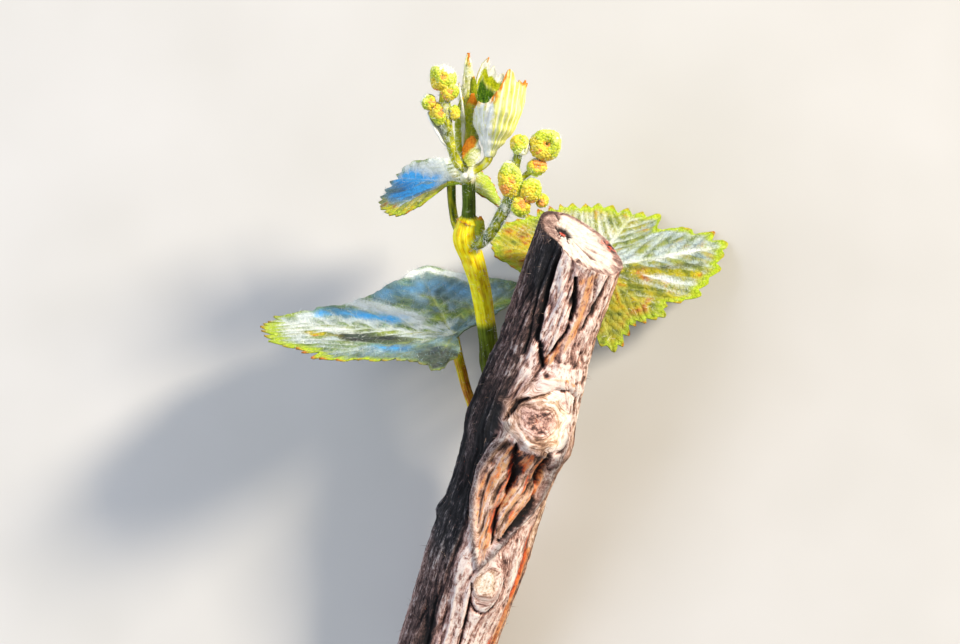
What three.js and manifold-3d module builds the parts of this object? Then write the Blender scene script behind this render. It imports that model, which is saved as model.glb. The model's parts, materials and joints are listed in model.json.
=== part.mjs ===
// A pruned grapevine spur with its young spring shoot, lying on its back as a cut piece.
// The spur is drawn standing on its foot cut, with its front at -Y, and is then laid down
// on the back of the foot and the far rims of its two low leaves.

import * as THREE from 'three';
import { mergeVertices } from 'three/addons/utils/BufferGeometryUtils.js';
import Module from 'manifold-3d';

const wasm = await Module();
wasm.setup();

// Driving dimensions, millimetres and degrees
const GAP = 0.3;
const WOOD_LENGTH = 101;
const WOOD_LEAN = 17.6;
const CUT_FALL_RIGHT = 0.6;
const CUT_RISE_BACK = 0.27;
const LEAF_THICKNESS = 0.8;
const FLAP_THICKNESS = 0.6;
const PETIOLE_RADIUS = 0.95;
const TOOTH_DEPTH = 0.08;
const LAY_BACK = 65.63;
const ROLL = 14.45;

// Radius of the wood at heights along its axis
const WOOD_RADII = [
  [0, 10.1], [10, 10.3], [20, 10.5], [28, 10.85], [42, 10.45], [47, 10.4], [52, 10.7],
  [58, 11.7], [65, 11.2], [72, 10.7], [77, 10.15], [82, 9.95], [115, 9.8],
];

// Knots and bumps on the wood: height, angle round it, how far each stands out, spread along and round.
// Angle 0 is the right side, 90 the back and -90 the front.
const WOOD_BUMPS = [
  { at: 59.5, turn: -70, out: 2.2, along: 6.5, round: 33 },
  { at: 22.5, turn: -62, out: 1.0, along: 4.0, round: 24 },
  { at: 36.5, turn: 180, out: 0.8, along: 1.6, round: 30 },
  { at: 46.0, turn: 100, out: 1.2, along: 6.0, round: 30 },
  { at: 58.5, turn: 8, out: 1.0, along: 5.0, round: 26 },
];
const FLUTES = 7;
const FLUTE_DEPTH = 0.16;

const radians = THREE.MathUtils.degToRad;
const vec = (x, y, z) => new THREE.Vector3(x, y, z);

// A smooth value between the rows of a table of [place, value]
function between(table, place) {
  const last = table.length - 1;
  if (place <= table[0][0]) {
    return table[0][1];
  }
  if (place >= table[last][0]) {
    return table[last][1];
  }
  const next = table.findIndex((row) => row[0] > place);
  const [from, low] = table[next - 1];
  const [to, high] = table[next];
  return THREE.MathUtils.lerp(low, high, THREE.MathUtils.smoothstep(place, from, to));
}

function meshGeometry(points, triangles) {
  const geometry = new THREE.BufferGeometry();
  geometry.setAttribute('position', new THREE.Float32BufferAttribute(points.flatMap((p) => p.toArray()), 3));
  geometry.setIndex(triangles.flat());
  return geometry;
}

// A closed body through rings of equal length, with a point at the middle of each end.
// Each ring runs counterclockwise as seen from the last ring.
function skin(rings, firstMiddle, lastMiddle) {
  const sides = rings[0].length;
  const points = [...rings.flat(), firstMiddle, lastMiddle];
  const first = points.length - 2;
  const last = points.length - 1;
  const triangles = [];
  for (let side = 0; side < sides; side += 1) {
    const next = (side + 1) % sides;
    triangles.push([first, next, side]);
    for (let ring = 0; ring < rings.length - 1; ring += 1) {
      const low = ring * sides;
      const high = low + sides;
      triangles.push([low + side, low + next, high + next]);
      triangles.push([low + side, high + next, high + side]);
    }
    const top = (rings.length - 1) * sides;
    triangles.push([last, top + side, top + next]);
  }
  return meshGeometry(points, triangles);
}

// A round limb along a smooth curve through stations of { at, radius }
function limb(stations, { sides = 12, steps = 20, grow = 0 } = {}) {
  const curve = new THREE.CatmullRomCurve3(stations.map((station) => station.at), false, 'centripetal');
  const count = stations.length - 1;
  const radii = stations.map((station, index) => [index / count, station.radius]);
  const frames = curve.computeFrenetFrames(steps, false);
  const rings = [];
  for (let step = 0; step <= steps; step += 1) {
    const centre = curve.getPoint(step / steps);
    const radius = between(radii, step / steps) + grow;
    const ring = [];
    for (let side = 0; side < sides; side += 1) {
      const turn = (2 * Math.PI * side) / sides;
      ring.push(centre.clone()
        .addScaledVector(frames.normals[step], radius * Math.cos(turn))
        .addScaledVector(frames.binormals[step], radius * Math.sin(turn)));
    }
    rings.push(ring);
  }
  return skin(rings, curve.getPoint(0), curve.getPoint(1));
}

function solid(geometry) {
  const bare = geometry.clone();
  bare.deleteAttribute('normal');
  bare.deleteAttribute('uv');
  const merged = mergeVertices(bare, 1e-5);
  return new wasm.Manifold(new wasm.Mesh({
    numProp: 3,
    vertProperties: new Float32Array(merged.attributes.position.array),
    triVerts: new Uint32Array(merged.index.array),
  }));
}

function fromSolid(body) {
  const mesh = body.getMesh();
  const geometry = new THREE.BufferGeometry();
  geometry.setAttribute('position', new THREE.Float32BufferAttribute(mesh.vertProperties, 3));
  geometry.setIndex([...mesh.triVerts]);
  return geometry;
}

function fused(geometries) {
  return fromSolid(geometries.map(solid).reduce((whole, piece) => whole.add(piece)));
}

// Cuts the neighbours off a piece and drops any loose chip that is left beyond them
function cutClear(geometry, neighbours) {
  const cut = neighbours.map(solid).reduce((whole, piece) => whole.subtract(piece), solid(geometry));
  return fromSolid(cut.decompose().reduce((most, piece) => (piece.volume() > most.volume() ? piece : most)));
}

// The two faces of a thin sheet, from its middle surface given as rows of points.
// A round sheet has a middle point and its rows close on themselves; an open one has four free edges.
function sheet(rows, thickness, middle = null) {
  const width = rows[0].length;
  const wraps = middle !== null;
  const columns = wraps ? width : width - 1;
  const flat = rows.flat();
  if (wraps) {
    flat.push(middle);
  }
  const cells = [];
  for (let column = 0; column < columns; column += 1) {
    const next = (column + 1) % width;
    if (wraps) {
      cells.push([flat.length - 1, column, next]);
    }
    for (let row = 0; row < rows.length - 1; row += 1) {
      const inner = row * width;
      const outer = inner + width;
      cells.push([inner + column, outer + column, outer + next]);
      cells.push([inner + column, outer + next, inner + next]);
    }
  }
  const facing = meshGeometry(flat, cells);
  facing.computeVertexNormals();
  const { normal } = facing.attributes;
  const offset = (distance) => flat.map((point, index) => point.clone()
    .addScaledVector(new THREE.Vector3().fromBufferAttribute(normal, index), distance));
  const upper = offset(thickness / 2);
  const lower = offset(-thickness / 2);
  const under = flat.length;
  const triangles = [...cells, ...cells.map(([a, b, c]) => [under + a, under + c, under + b])];
  const wall = (from, to) => {
    triangles.push([from, under + from, under + to]);
    triangles.push([from, under + to, to]);
  };
  const outer = (rows.length - 1) * width;
  for (let column = 0; column < columns; column += 1) {
    const next = (column + 1) % width;
    wall(outer + column, outer + next);
    if (!wraps) {
      wall(next, column);
    }
  }
  if (!wraps) {
    for (let row = 0; row < rows.length - 1; row += 1) {
      wall(row * width, (row + 1) * width);
      wall((row + 2) * width - 1, (row + 1) * width - 1);
    }
  }
  return meshGeometry([...upper, ...lower], triangles);
}

// Old wood: a leaning, knotty stub with a square foot cut and a slanting top cut
const LEAN_SIN = Math.sin(radians(WOOD_LEAN));
const LEAN_COS = Math.cos(radians(WOOD_LEAN));
const CUT_MIDDLE = vec(WOOD_LENGTH * LEAN_SIN, 0, WOOD_LENGTH * LEAN_COS);

function woodPoint(height, turn, radius) {
  const across = radius * Math.cos(turn);
  return vec(
    height * LEAN_SIN + across * LEAN_COS,
    radius * Math.sin(turn),
    height * LEAN_COS - across * LEAN_SIN,
  );
}

function woodRadius(height, turn) {
  let radius = between(WOOD_RADII, height) + FLUTE_DEPTH * Math.sin(FLUTES * turn + height / 14);
  for (const bump of WOOD_BUMPS) {
    const round = THREE.MathUtils.radToDeg(Math.atan2(
      Math.sin(turn - radians(bump.turn)),
      Math.cos(turn - radians(bump.turn)),
    ));
    radius += bump.out * Math.exp(-(((height - bump.at) / bump.along) ** 2) - ((round / bump.round) ** 2));
  }
  return radius;
}

// Height on the axis at which a line up the bark meets the slanting cut
function cutHeight(turn) {
  const radius = woodRadius(WOOD_LENGTH, turn);
  const across = radius * Math.cos(turn);
  const rise = CUT_MIDDLE.z + CUT_FALL_RIGHT * (CUT_MIDDLE.x - across * LEAN_COS)
    + CUT_RISE_BACK * radius * Math.sin(turn) + across * LEAN_SIN;
  return rise / (LEAN_COS + CUT_FALL_RIGHT * LEAN_SIN);
}

function oldWood(grow = 0) {
  const sides = 40;
  const levels = 32;
  const rings = [];
  for (let level = 0; level <= levels; level += 1) {
    const ring = [];
    for (let side = 0; side < sides; side += 1) {
      const turn = (2 * Math.PI * side) / sides;
      const height = (cutHeight(turn) * level) / levels;
      ring.push(woodPoint(height, turn, woodRadius(height, turn) + grow));
    }
    rings.push(ring);
  }
  return skin(rings, vec(0, 0, 0), CUT_MIDDLE);
}

// Young shoot: it leaves the back of the wood and climbs beside it, thicker at its four nodes
const NODE_LOW = vec(14.3, 14.4, 51.0);
const NODE_SECOND = vec(11.8, 14.0, 66.8);
const NODE_THIRD = vec(6.5, 12.0, 94.5);
const NODE_FOURTH = vec(6.9, 11.0, 109.0);
const SHOOT_END = vec(6.8, 11.0, 110.8);

const SHOOT = [
  { at: vec(15.2, 8.0, 45.5), radius: 2.5 },
  { at: vec(15.0, 12.0, 47.4), radius: 2.6 },
  { at: NODE_LOW, radius: 2.7 },
  { at: vec(13.5, 14.9, 56.0), radius: 2.0 },
  { at: vec(12.6, 14.7, 61.0), radius: 2.0 },
  { at: NODE_SECOND, radius: 2.5 },
  { at: vec(11.2, 13.4, 71.5), radius: 2.0 },
  { at: vec(10.6, 13.0, 76.2), radius: 2.0 },
  { at: vec(9.4, 12.5, 84.0), radius: 2.15 },
  { at: vec(7.9, 12.1, 89.7), radius: 2.4 },
  { at: NODE_THIRD, radius: 2.8 },
  { at: vec(6.9, 12.0, 98.0), radius: 2.3 },
  { at: vec(7.0, 11.8, 99.6), radius: 1.6 },
  { at: vec(7.1, 11.5, 102.0), radius: 1.5 },
  { at: vec(7.0, 11.2, 106.0), radius: 1.5 },
  { at: NODE_FOURTH, radius: 1.8 },
  { at: SHOOT_END, radius: 1.5 },
];

const youngShoot = (grow = 0) => limb(SHOOT, { sides: 16, steps: 48, grow });

// Old bud scales: a collar round the foot of the shoot
const COLLAR = [
  { at: vec(15.2, 9.0, 45.9), radius: 4.4 },
  { at: vec(15.0, 12.6, 47.8), radius: 3.9 },
  { at: vec(14.8, 13.8, 49.0), radius: 3.2 },
];

const collar = (grow = 0) => limb(COLLAR, { sides: 16, steps: 6, grow });

// Shoot tip: the folded youngest leaves round the growing point
const SHOOT_TIP = [
  { at: vec(6.8, 11.0, 111.2), radius: 1.3 },
  { at: vec(6.7, 11.0, 114.5), radius: 1.7 },
  { at: vec(6.7, 11.0, 119.0), radius: 2.1 },
  { at: vec(6.7, 11.0, 123.5), radius: 1.7 },
  { at: vec(6.8, 11.0, 127.0), radius: 1.25 },
  { at: vec(6.9, 11.0, 131.0), radius: 1.0 },
  { at: vec(6.9, 11.0, 134.4), radius: 0.45 },
];

const shootTip = (grow = 0) => limb(SHOOT_TIP, { sides: 14, steps: 18, grow });

// Leaves. Each has lobes and the notches between them as [angle from the midrib, reach], with
// positive angles on the side that face x midrib points to, and a fold that lifts or drops each half.
const LOW_LEFT_LEAF = {
  junction: vec(3.6, 13.0, 72.8),
  midrib: vec(-0.94, 0.34, 0),
  face: vec(0, 0, 1),
  outline: [
    [-126, 3], [-110, 20], [-100, 29], [-86, 29.5], [-74, 31], [-59, 35.7], [-46, 31], [-34, 29.5],
    [-22, 30.5], [-12, 36], [-1, 43.5], [9, 42.5], [28, 40.5], [42, 35.5], [57, 34.8], [71, 29.5],
    [90, 26.5], [98, 28], [105, 32.8], [109, 22], [126, 3],
  ],
  teeth: 46,
  foldPlus: 2,
  foldMinus: 12,
  curlPlus: 0,
  curlMinus: 0,
  droop: 0.6,
  ripple: 0.6,
  petiole: [
    { at: NODE_LOW, radius: 1.3 },
    { at: vec(9.4, 14.0, 53.6), radius: 1.05 },
    { at: vec(7.0, 12.9, 59.4), radius: PETIOLE_RADIUS },
    { at: vec(5.1, 12.5, 66.5), radius: PETIOLE_RADIUS },
    { at: vec(3.6, 13.0, 72.8), radius: 1.1 },
  ],
};

const LOW_RIGHT_LEAF = {
  junction: vec(33.5, 17.0, 86.7),
  midrib: vec(1, 0.25, -0.05),
  face: vec(-0.01, -0.4, 0.92),
  outline: [
    [-134, 2.5], [-101, 8], [-93, 19], [-84, 20.5], [-63, 16.5], [-50, 17.8], [-41, 19.2], [-32, 18.3],
    [-14, 25], [3, 30.3], [12, 34], [20, 33], [30, 28], [36, 22.8], [42, 28], [52, 26],
    [66, 24.5], [84, 22.5], [106, 22.4], [124, 18], [147, 22.3], [166, 22.2], [181, 18], [197, 4],
  ],
  teeth: 44,
  foldPlus: 2,
  foldMinus: -24,
  curlPlus: 0,
  curlMinus: 0,
  droop: 0,
  ripple: 0.6,
  petiole: [
    { at: NODE_SECOND, radius: 1.3 },
    { at: vec(17.4, 17.2, 70.4), radius: 1.05 },
    { at: vec(24.0, 18.0, 76.4), radius: PETIOLE_RADIUS },
    { at: vec(30.4, 17.6, 82.0), radius: PETIOLE_RADIUS },
    { at: vec(33.5, 17.0, 86.7), radius: 1.1 },
  ],
};

const MID_LEFT_LEAF = {
  junction: vec(3.2, 15.5, 106.1),
  midrib: vec(-0.15, 1, 0.2),
  face: vec(0, -0.2, 1),
  outline: [
    [-134, 2.2], [-112, 12], [-88, 14], [-66, 16], [-43, 18], [-20, 13.5], [-4, 12.7], [10, 14.6],
    [23, 18.7], [41, 18.8], [60, 18.3], [78, 16.9], [92, 15.8], [108, 14.3], [118, 10], [134, 2.2],
  ],
  teeth: 34,
  foldPlus: -22,
  foldMinus: -5,
  curlPlus: -0.4,
  curlMinus: -4,
  droop: 0,
  ripple: 0.4,
  petiole: [
    { at: NODE_THIRD, radius: 1.2 },
    { at: vec(4.5, 14.0, 96.4), radius: 0.95 },
    { at: vec(3.6, 15.0, 100.2), radius: 0.85 },
    { at: vec(3.2, 15.5, 106.1), radius: 0.95 },
  ],
};

const BLADE_RINGS = [0.3, 0.68, 1];
const RIPPLES = 5;

// A leaf blade round its stalk's end, folded along the midrib, curled down at the sides and rippled
function leafBlade(leaf, thickness = LEAF_THICKNESS) {
  const along = leaf.midrib.clone().normalize();
  const up = leaf.face.clone().addScaledVector(along, -leaf.face.dot(along)).normalize();
  const across = up.clone().cross(along);
  const length = Math.max(...leaf.outline.map((row) => row[1]));
  const place = (angle, distance) => {
    const side = Math.sign(Math.sin(angle));
    const out = distance * Math.abs(Math.sin(angle));
    const fold = radians(side >= 0 ? leaf.foldPlus : leaf.foldMinus);
    const curl = radians(side >= 0 ? leaf.curlPlus : leaf.curlMinus) || 1e-6;
    const share = distance / length;
    const lift = leaf.ripple * share * Math.sin(RIPPLES * angle) - leaf.droop * share ** 3;
    return leaf.junction.clone()
      .addScaledVector(along, distance * Math.cos(angle))
      .addScaledVector(across, side * (Math.sin(fold + curl * out) - Math.sin(fold)) / curl)
      .addScaledVector(up, (Math.cos(fold) - Math.cos(fold + curl * out)) / curl + lift);
  };
  const from = leaf.outline[0][0];
  const to = leaf.outline[leaf.outline.length - 1][0];
  const rows = BLADE_RINGS.map((share) => {
    const row = [];
    for (let column = 0; column <= 2 * leaf.teeth; column += 1) {
      const angle = THREE.MathUtils.lerp(from, to, column / (2 * leaf.teeth));
      const notch = share === 1 && column % 2 === 0 ? TOOTH_DEPTH : 0;
      row.push(place(radians(angle), between(leaf.outline, angle) * share * (1 - notch)));
    }
    return row;
  });
  return sheet(rows, thickness, leaf.junction);
}

function petiole(leaf, neighbours) {
  return cutClear(limb(leaf.petiole, { sides: 10, steps: 14 }), [
    leafBlade(leaf, LEAF_THICKNESS + 2 * GAP),
    ...neighbours,
  ]);
}

// Top right leaf: still rolled into a half-open cup. The radii are at heights above its foot,
// and the lobes are the height of its margin at shares of the way round.
const CUP = {
  foot: vec(11.3, 9.0, 112.6),
  axis: vec(0.15, 0, 1),
  start: -175,
  sweep: 290,
  radii: [[0, 0.8], [4, 2.6], [7.5, 4.2], [11.5, 5.2], [16, 5.2], [22, 4.6]],
  lobes: [
    [0, 11], [0.13, 13], [0.24, 12.5], [0.34, 19], [0.45, 17.5],
    [0.56, 18], [0.7, 19], [0.82, 18], [0.93, 21], [1, 19],
  ],
  rings: [0.02, 0.2, 0.4, 0.7, 1],
  teeth: 12,
};

const CUP_PETIOLE = [
  { at: NODE_FOURTH, radius: 1.1 },
  { at: vec(8.8, 10.4, 109.9), radius: 0.9 },
  { at: vec(10.3, 9.6, 111.0), radius: 0.85 },
  { at: vec(11.2, 9.1, 112.2), radius: 0.9 },
];

function cupLeaf(thickness = LEAF_THICKNESS) {
  const axis = CUP.axis.clone().normalize();
  const right = vec(1, 0, 0).addScaledVector(axis, -axis.x).normalize();
  const back = axis.clone().cross(right);
  const rows = CUP.rings.map((share) => {
    const row = [];
    for (let column = 0; column <= 2 * CUP.teeth; column += 1) {
      const part = column / (2 * CUP.teeth);
      const turn = radians(CUP.start + CUP.sweep * part);
      const notch = share === 1 && column % 2 === 0 ? TOOTH_DEPTH : 0;
      const height = between(CUP.lobes, part) * share * (1 - notch);
      const radius = between(CUP.radii, height);
      row.push(CUP.foot.clone()
        .addScaledVector(axis, height)
        .addScaledVector(right, radius * Math.cos(turn))
        .addScaledVector(back, radius * Math.sin(turn)));
    }
    return row;
  });
  return sheet(rows, thickness);
}

// Flower clusters: a downy stalk with knots of unopened flower buds on it
const CLUSTER_MID = {
  stalk: [
    { at: vec(7.5, 11.0, 93.0), radius: 1.1 },
    { at: vec(9.8, 9.0, 94.2), radius: 1.0 },
    { at: vec(11.9, 7.0, 97.0), radius: 0.95 },
    { at: vec(13.8, 6.0, 100.6), radius: 0.95 },
    { at: vec(15.6, 6.0, 104.4), radius: 1.0 },
    { at: vec(16.2, 6.0, 109.0), radius: 1.0 },
    { at: vec(17.4, 6.0, 114.0), radius: 0.8 },
  ],
  branches: [
    [vec(16.0, 6.0, 107.0), vec(21.0, 6.0, 111.0)],
    [vec(20.6, 6.0, 110.6), vec(23.1, 6.0, 115.6)],
    [vec(15.6, 6.0, 104.4), vec(20.0, 5.6, 106.0)],
    [vec(20.0, 5.6, 106.0), vec(22.3, 6.0, 104.2)],
  ],
  buds: [
    { at: vec(15.7, 5.6, 108.4), size: vec(2.3, 2.3, 4.3) },
    { at: vec(17.6, 6.0, 115.8), size: vec(1.9, 1.9, 1.9) },
    { at: vec(23.1, 6.0, 115.8), size: vec(3.3, 2.9, 3.3) },
    { at: vec(21.2, 6.0, 111.1), size: vec(2.0, 2.0, 2.0) },
    { at: vec(20.0, 5.4, 106.2), size: vec(2.1, 2.1, 2.1) },
    { at: vec(17.7, 5.4, 102.9), size: vec(1.7, 1.7, 1.7) },
    { at: vec(22.4, 6.0, 104.0), size: vec(1.2, 1.2, 1.4) },
  ],
};

const CLUSTER_TOP = {
  stalk: [
    { at: vec(6.6, 10.6, 109.3), radius: 0.95 },
    { at: vec(4.8, 8.6, 111.4), radius: 0.95 },
    { at: vec(3.6, 7.6, 114.6), radius: 0.9 },
    { at: vec(2.7, 7.0, 118.4), radius: 0.9 },
    { at: vec(2.2, 7.0, 123.0), radius: 1.0 },
    { at: vec(2.0, 7.0, 129.0), radius: 0.9 },
  ],
  branches: [
    [vec(2.3, 7.0, 122.0), vec(-1.3, 7.0, 124.6)],
    [vec(2.3, 7.0, 121.4), vec(4.2, 6.6, 123.2)],
  ],
  buds: [
    { at: vec(1.7, 7.0, 129.8), size: vec(2.7, 2.4, 2.7) },
    { at: vec(2.9, 6.6, 127.4), size: vec(1.9, 1.9, 1.9) },
    { at: vec(-1.3, 7.0, 124.7), size: vec(1.5, 1.5, 1.5) },
    { at: vec(1.4, 6.8, 122.7), size: vec(2.4, 2.2, 2.4) },
    { at: vec(4.1, 6.6, 123.2), size: vec(1.1, 1.1, 1.1) },
  ],
};

const BRANCH_RADIUS = 0.6;
const LARGE_BUD = 2.2;

function flowerCluster({ stalk, branches, buds }, neighbours) {
  const pieces = [limb(stalk, { sides: 10, steps: 18 })];
  for (const ends of branches) {
    pieces.push(limb(ends.map((at) => ({ at, radius: BRANCH_RADIUS })), { sides: 8, steps: 2 }));
  }
  for (const bud of buds) {
    const ball = new THREE.IcosahedronGeometry(1, bud.size.z > LARGE_BUD ? 2 : 1);
    ball.scale(bud.size.x, bud.size.y, bud.size.z);
    ball.translate(bud.at.x, bud.at.y, bud.at.z);
    pieces.push(ball);
  }
  return cutClear(fused(pieces), neighbours);
}

// Small flaps: a pointed scale on its foot, hollowed towards its inner face
const FLAP_HALF_WIDTHS = [[0, 0.35], [0.3, 0.95], [0.55, 1], [0.8, 0.7], [1, 0.2]];
const FLAP_STEPS = 6;

function flap({ foot, tip, inner, width, hollow }) {
  const along = tip.clone().sub(foot);
  const face = inner.clone().addScaledVector(along, -inner.dot(along) / along.lengthSq()).normalize();
  const side = along.clone().cross(face).normalize();
  const rows = [];
  for (let step = 0; step <= FLAP_STEPS; step += 1) {
    const share = step / FLAP_STEPS;
    const half = (width / 2) * between(FLAP_HALF_WIDTHS, share);
    rows.push([-1, -0.5, 0, 0.5, 1].map((offset) => foot.clone()
      .addScaledVector(along, share)
      .addScaledVector(side, half * offset)
      .addScaledVector(face, hollow * offset ** 2 * Math.sin(Math.PI * share))));
  }
  return sheet(rows, FLAP_THICKNESS);
}

const STIPULE_CENTRE = {
  foot: vec(7.4, 8.2, 110.8),
  tip: vec(7.8, 7.8, 117.0),
  inner: vec(0, 1, 0),
  width: 3.8,
  hollow: 0.5,
};

const STIPULE_RIGHT = {
  foot: vec(10.0, 11.0, 94.8),
  tip: vec(10.4, 10.8, 100.2),
  inner: vec(-1, 0, 0),
  width: 2.0,
  hollow: 0.4,
};

const BRACT_LEFT = {
  foot: vec(1.4, 6.4, 119.6),
  tip: vec(-0.8, 5.4, 115.4),
  inner: vec(1, 0, 0.5),
  width: 2.2,
  hollow: 0.4,
};

// Colours and finish
const BARK = new THREE.MeshStandardMaterial({ color: 0x6b5440, roughness: 0.95, metalness: 0 });
const SHOOT_SKIN = new THREE.MeshStandardMaterial({ color: 0x9aa94a, roughness: 0.6, metalness: 0 });
const SCALE_SKIN = new THREE.MeshStandardMaterial({ color: 0x8a5a35, roughness: 0.9, metalness: 0 });
const LEAF_GREEN = new THREE.MeshStandardMaterial({ color: 0x7f9a6a, roughness: 0.8, metalness: 0 });
const DOWNY_WHITE = new THREE.MeshStandardMaterial({ color: 0xd8dcc8, roughness: 0.95, metalness: 0 });

// The standing spur, laid down and moved so that the middle of its underside is the origin
const spur = new THREE.Group();

function add(name, geometry, material) {
  const mesh = new THREE.Mesh(geometry, material);
  mesh.name = name;
  spur.add(mesh);
}

// Neighbours grown by the gap, to cut the pieces clear of them
const wood = oldWood(GAP);
const shoot = youngShoot(GAP);
const tip = shootTip(GAP);
const cup = cupLeaf(LEAF_THICKNESS + 2 * GAP);

add('old_wood', oldWood(), BARK);
add('young_shoot', cutClear(youngShoot(), [wood]), SHOOT_SKIN);
add('bud_scales', cutClear(collar(), [wood, shoot]), SCALE_SKIN);
add('shoot_tip', shootTip(), DOWNY_WHITE);
add('leaf_low_left', leafBlade(LOW_LEFT_LEAF), LEAF_GREEN);
add('petiole_low_left', petiole(LOW_LEFT_LEAF, [shoot, wood, collar(GAP)]), SHOOT_SKIN);
add('leaf_low_right', leafBlade(LOW_RIGHT_LEAF), LEAF_GREEN);
add('petiole_low_right', petiole(LOW_RIGHT_LEAF, [shoot, wood]), SHOOT_SKIN);
add('leaf_mid_left', leafBlade(MID_LEFT_LEAF), LEAF_GREEN);
add('petiole_mid_left', petiole(MID_LEFT_LEAF, [shoot]), SHOOT_SKIN);
add('leaf_top_right', cupLeaf(), DOWNY_WHITE);
add('petiole_top_right', cutClear(limb(CUP_PETIOLE, { sides: 10, steps: 8 }), [shoot, tip, cup]), SHOOT_SKIN);
add('flower_cluster_mid', flowerCluster(CLUSTER_MID, [shoot]), DOWNY_WHITE);
add('flower_cluster_top', flowerCluster(CLUSTER_TOP, [shoot, tip]), DOWNY_WHITE);
add('stipule_centre', flap(STIPULE_CENTRE), SHOOT_SKIN);
add('stipule_right', flap(STIPULE_RIGHT), SHOOT_SKIN);
add('bract_left', flap(BRACT_LEFT), SHOOT_SKIN);

spur.rotation.set(radians(-LAY_BACK), radians(ROLL), 0, 'YXZ');
const vine = new THREE.Group();
vine.add(spur);
vine.updateMatrixWorld(true);
const box = new THREE.Box3().setFromObject(vine, true);
spur.position.set(-(box.min.x + box.max.x) / 2, -(box.min.y + box.max.y) / 2, -box.min.z);

export default vine;
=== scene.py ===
import functools
import itertools
import json
import math

import bmesh
import bpy
import numpy as np
from mathutils import Matrix, Vector


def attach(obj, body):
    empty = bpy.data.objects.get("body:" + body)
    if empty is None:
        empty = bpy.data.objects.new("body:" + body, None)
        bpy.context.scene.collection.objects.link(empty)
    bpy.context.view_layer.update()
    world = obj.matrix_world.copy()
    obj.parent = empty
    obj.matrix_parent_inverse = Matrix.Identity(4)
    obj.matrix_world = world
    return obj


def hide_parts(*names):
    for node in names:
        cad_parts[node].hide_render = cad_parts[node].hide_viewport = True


bl_info = {
    "name": "Grapevine spur",
    "version": (1, 0, 0),
    "blender": (4, 5, 0),
    "location": "3D View > Sidebar > Vine",
    "description": "Builds a pruned grapevine spur with its young leafy shoot and flower buds",
    "category": "Add Mesh",
}

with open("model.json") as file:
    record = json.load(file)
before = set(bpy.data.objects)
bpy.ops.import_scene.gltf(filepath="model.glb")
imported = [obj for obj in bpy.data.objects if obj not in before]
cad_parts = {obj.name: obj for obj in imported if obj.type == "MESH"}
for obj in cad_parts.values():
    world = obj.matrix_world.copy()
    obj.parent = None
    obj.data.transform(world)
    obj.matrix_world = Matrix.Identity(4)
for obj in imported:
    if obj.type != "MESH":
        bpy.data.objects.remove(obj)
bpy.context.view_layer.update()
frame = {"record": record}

# The spur is drawn standing on its foot cut, in millimetres, with its front at -Y, as the solids are.
# It is then laid on its back by the same two angles, with the foot cut where the frame has it.
LAY_BACK = 65.63
ROLL = 14.45
LAID_TURN = Matrix.Rotation(math.radians(ROLL), 3, "Y") @ Matrix.Rotation(math.radians(-LAY_BACK), 3, "X")
FOOT_CUT = next(m for m in frame["record"]["mounts"] if m["name"] == "foot_cut")
FOOT_PLACE = np.array(FOOT_CUT["pos_m"])
MM = 0.001


def laid(points):
    """Standing points in millimetres as places in the frame, in metres."""
    return np.asarray(points, float) @ np.array(LAID_TURN).T * MM + FOOT_PLACE


def standing(places):
    """Places in the frame, in metres, as standing points in millimetres."""
    return (np.asarray(places, float) - FOOT_PLACE) / MM @ np.array(LAID_TURN)


# Smooth tables, noise and distances
def between(table, place):
    """A smooth value between the rows of a table of (place, value)."""
    places, values = np.array(table, float).T
    place = np.clip(place, places[0], places[-1])
    row = np.clip(np.searchsorted(places, place, side="right") - 1, 0, len(places) - 2)
    share = (place - places[row]) / (places[row + 1] - places[row])
    return values[row] + (values[row + 1] - values[row]) * share * share * (3 - 2 * share)


def ease(value, low, high):
    """0 below low, 1 above high and a smooth step between them."""
    share = np.clip((value - low) / (high - low), 0, 1)
    return share * share * (3 - 2 * share)


def fade(distance, width, power=2):
    """1 at no distance, and falling smoothly to 0 past this width."""
    return np.exp(-(distance / width) ** power)


def stretch(value, start, full, until, end):
    """0 below start, 1 from full until it falls again, and 0 above end."""
    return ease(value, start, full) * (1 - ease(value, until, end))


def lattice(cells, seed):
    """A repeatable random number from -1 to 1 at each whole-number place, from large odd numbers that mix
    up its bits."""
    mixed = (cells * np.array([374761393, 668265263, 1103515245])).sum(-1) + seed * 1274126177
    mixed = mixed & 0xFFFFFFFF
    mixed = ((mixed ^ (mixed >> 13)) * 1274126177) & 0xFFFFFFFF
    return ((mixed ^ (mixed >> 16)) & 0xFFFF) / 32767.5 - 1


def noise(places, seed):
    """Smooth random values from -1 to 1 at places counted in cells."""
    cell = np.floor(places).astype(np.int64)
    part = places - cell
    part = part * part * (3 - 2 * part)
    total = 0
    for corner in itertools.product((0, 1), repeat=3):
        weight = np.where(corner, part, 1 - part).prod(-1)
        total = total + weight * lattice(cell + np.array(corner), seed)
    return total


def layered(places, octaves, seed):
    """Noise with finer, weaker noise laid over it."""
    return sum(noise(places * 2 ** o, seed + o) / 2 ** o for o in range(octaves))


def cells(*sides):
    """Places for noise from one to three coordinates that are counted in cells."""
    sides = np.broadcast_arrays(*sides, *[0.0] * (3 - len(sides)))
    return np.stack(sides, -1)


def ring_cells(turn, size, along):
    """Places for noise that meets itself again round a ring."""
    return cells(size * np.cos(turn), size * np.sin(turn), along)


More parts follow.
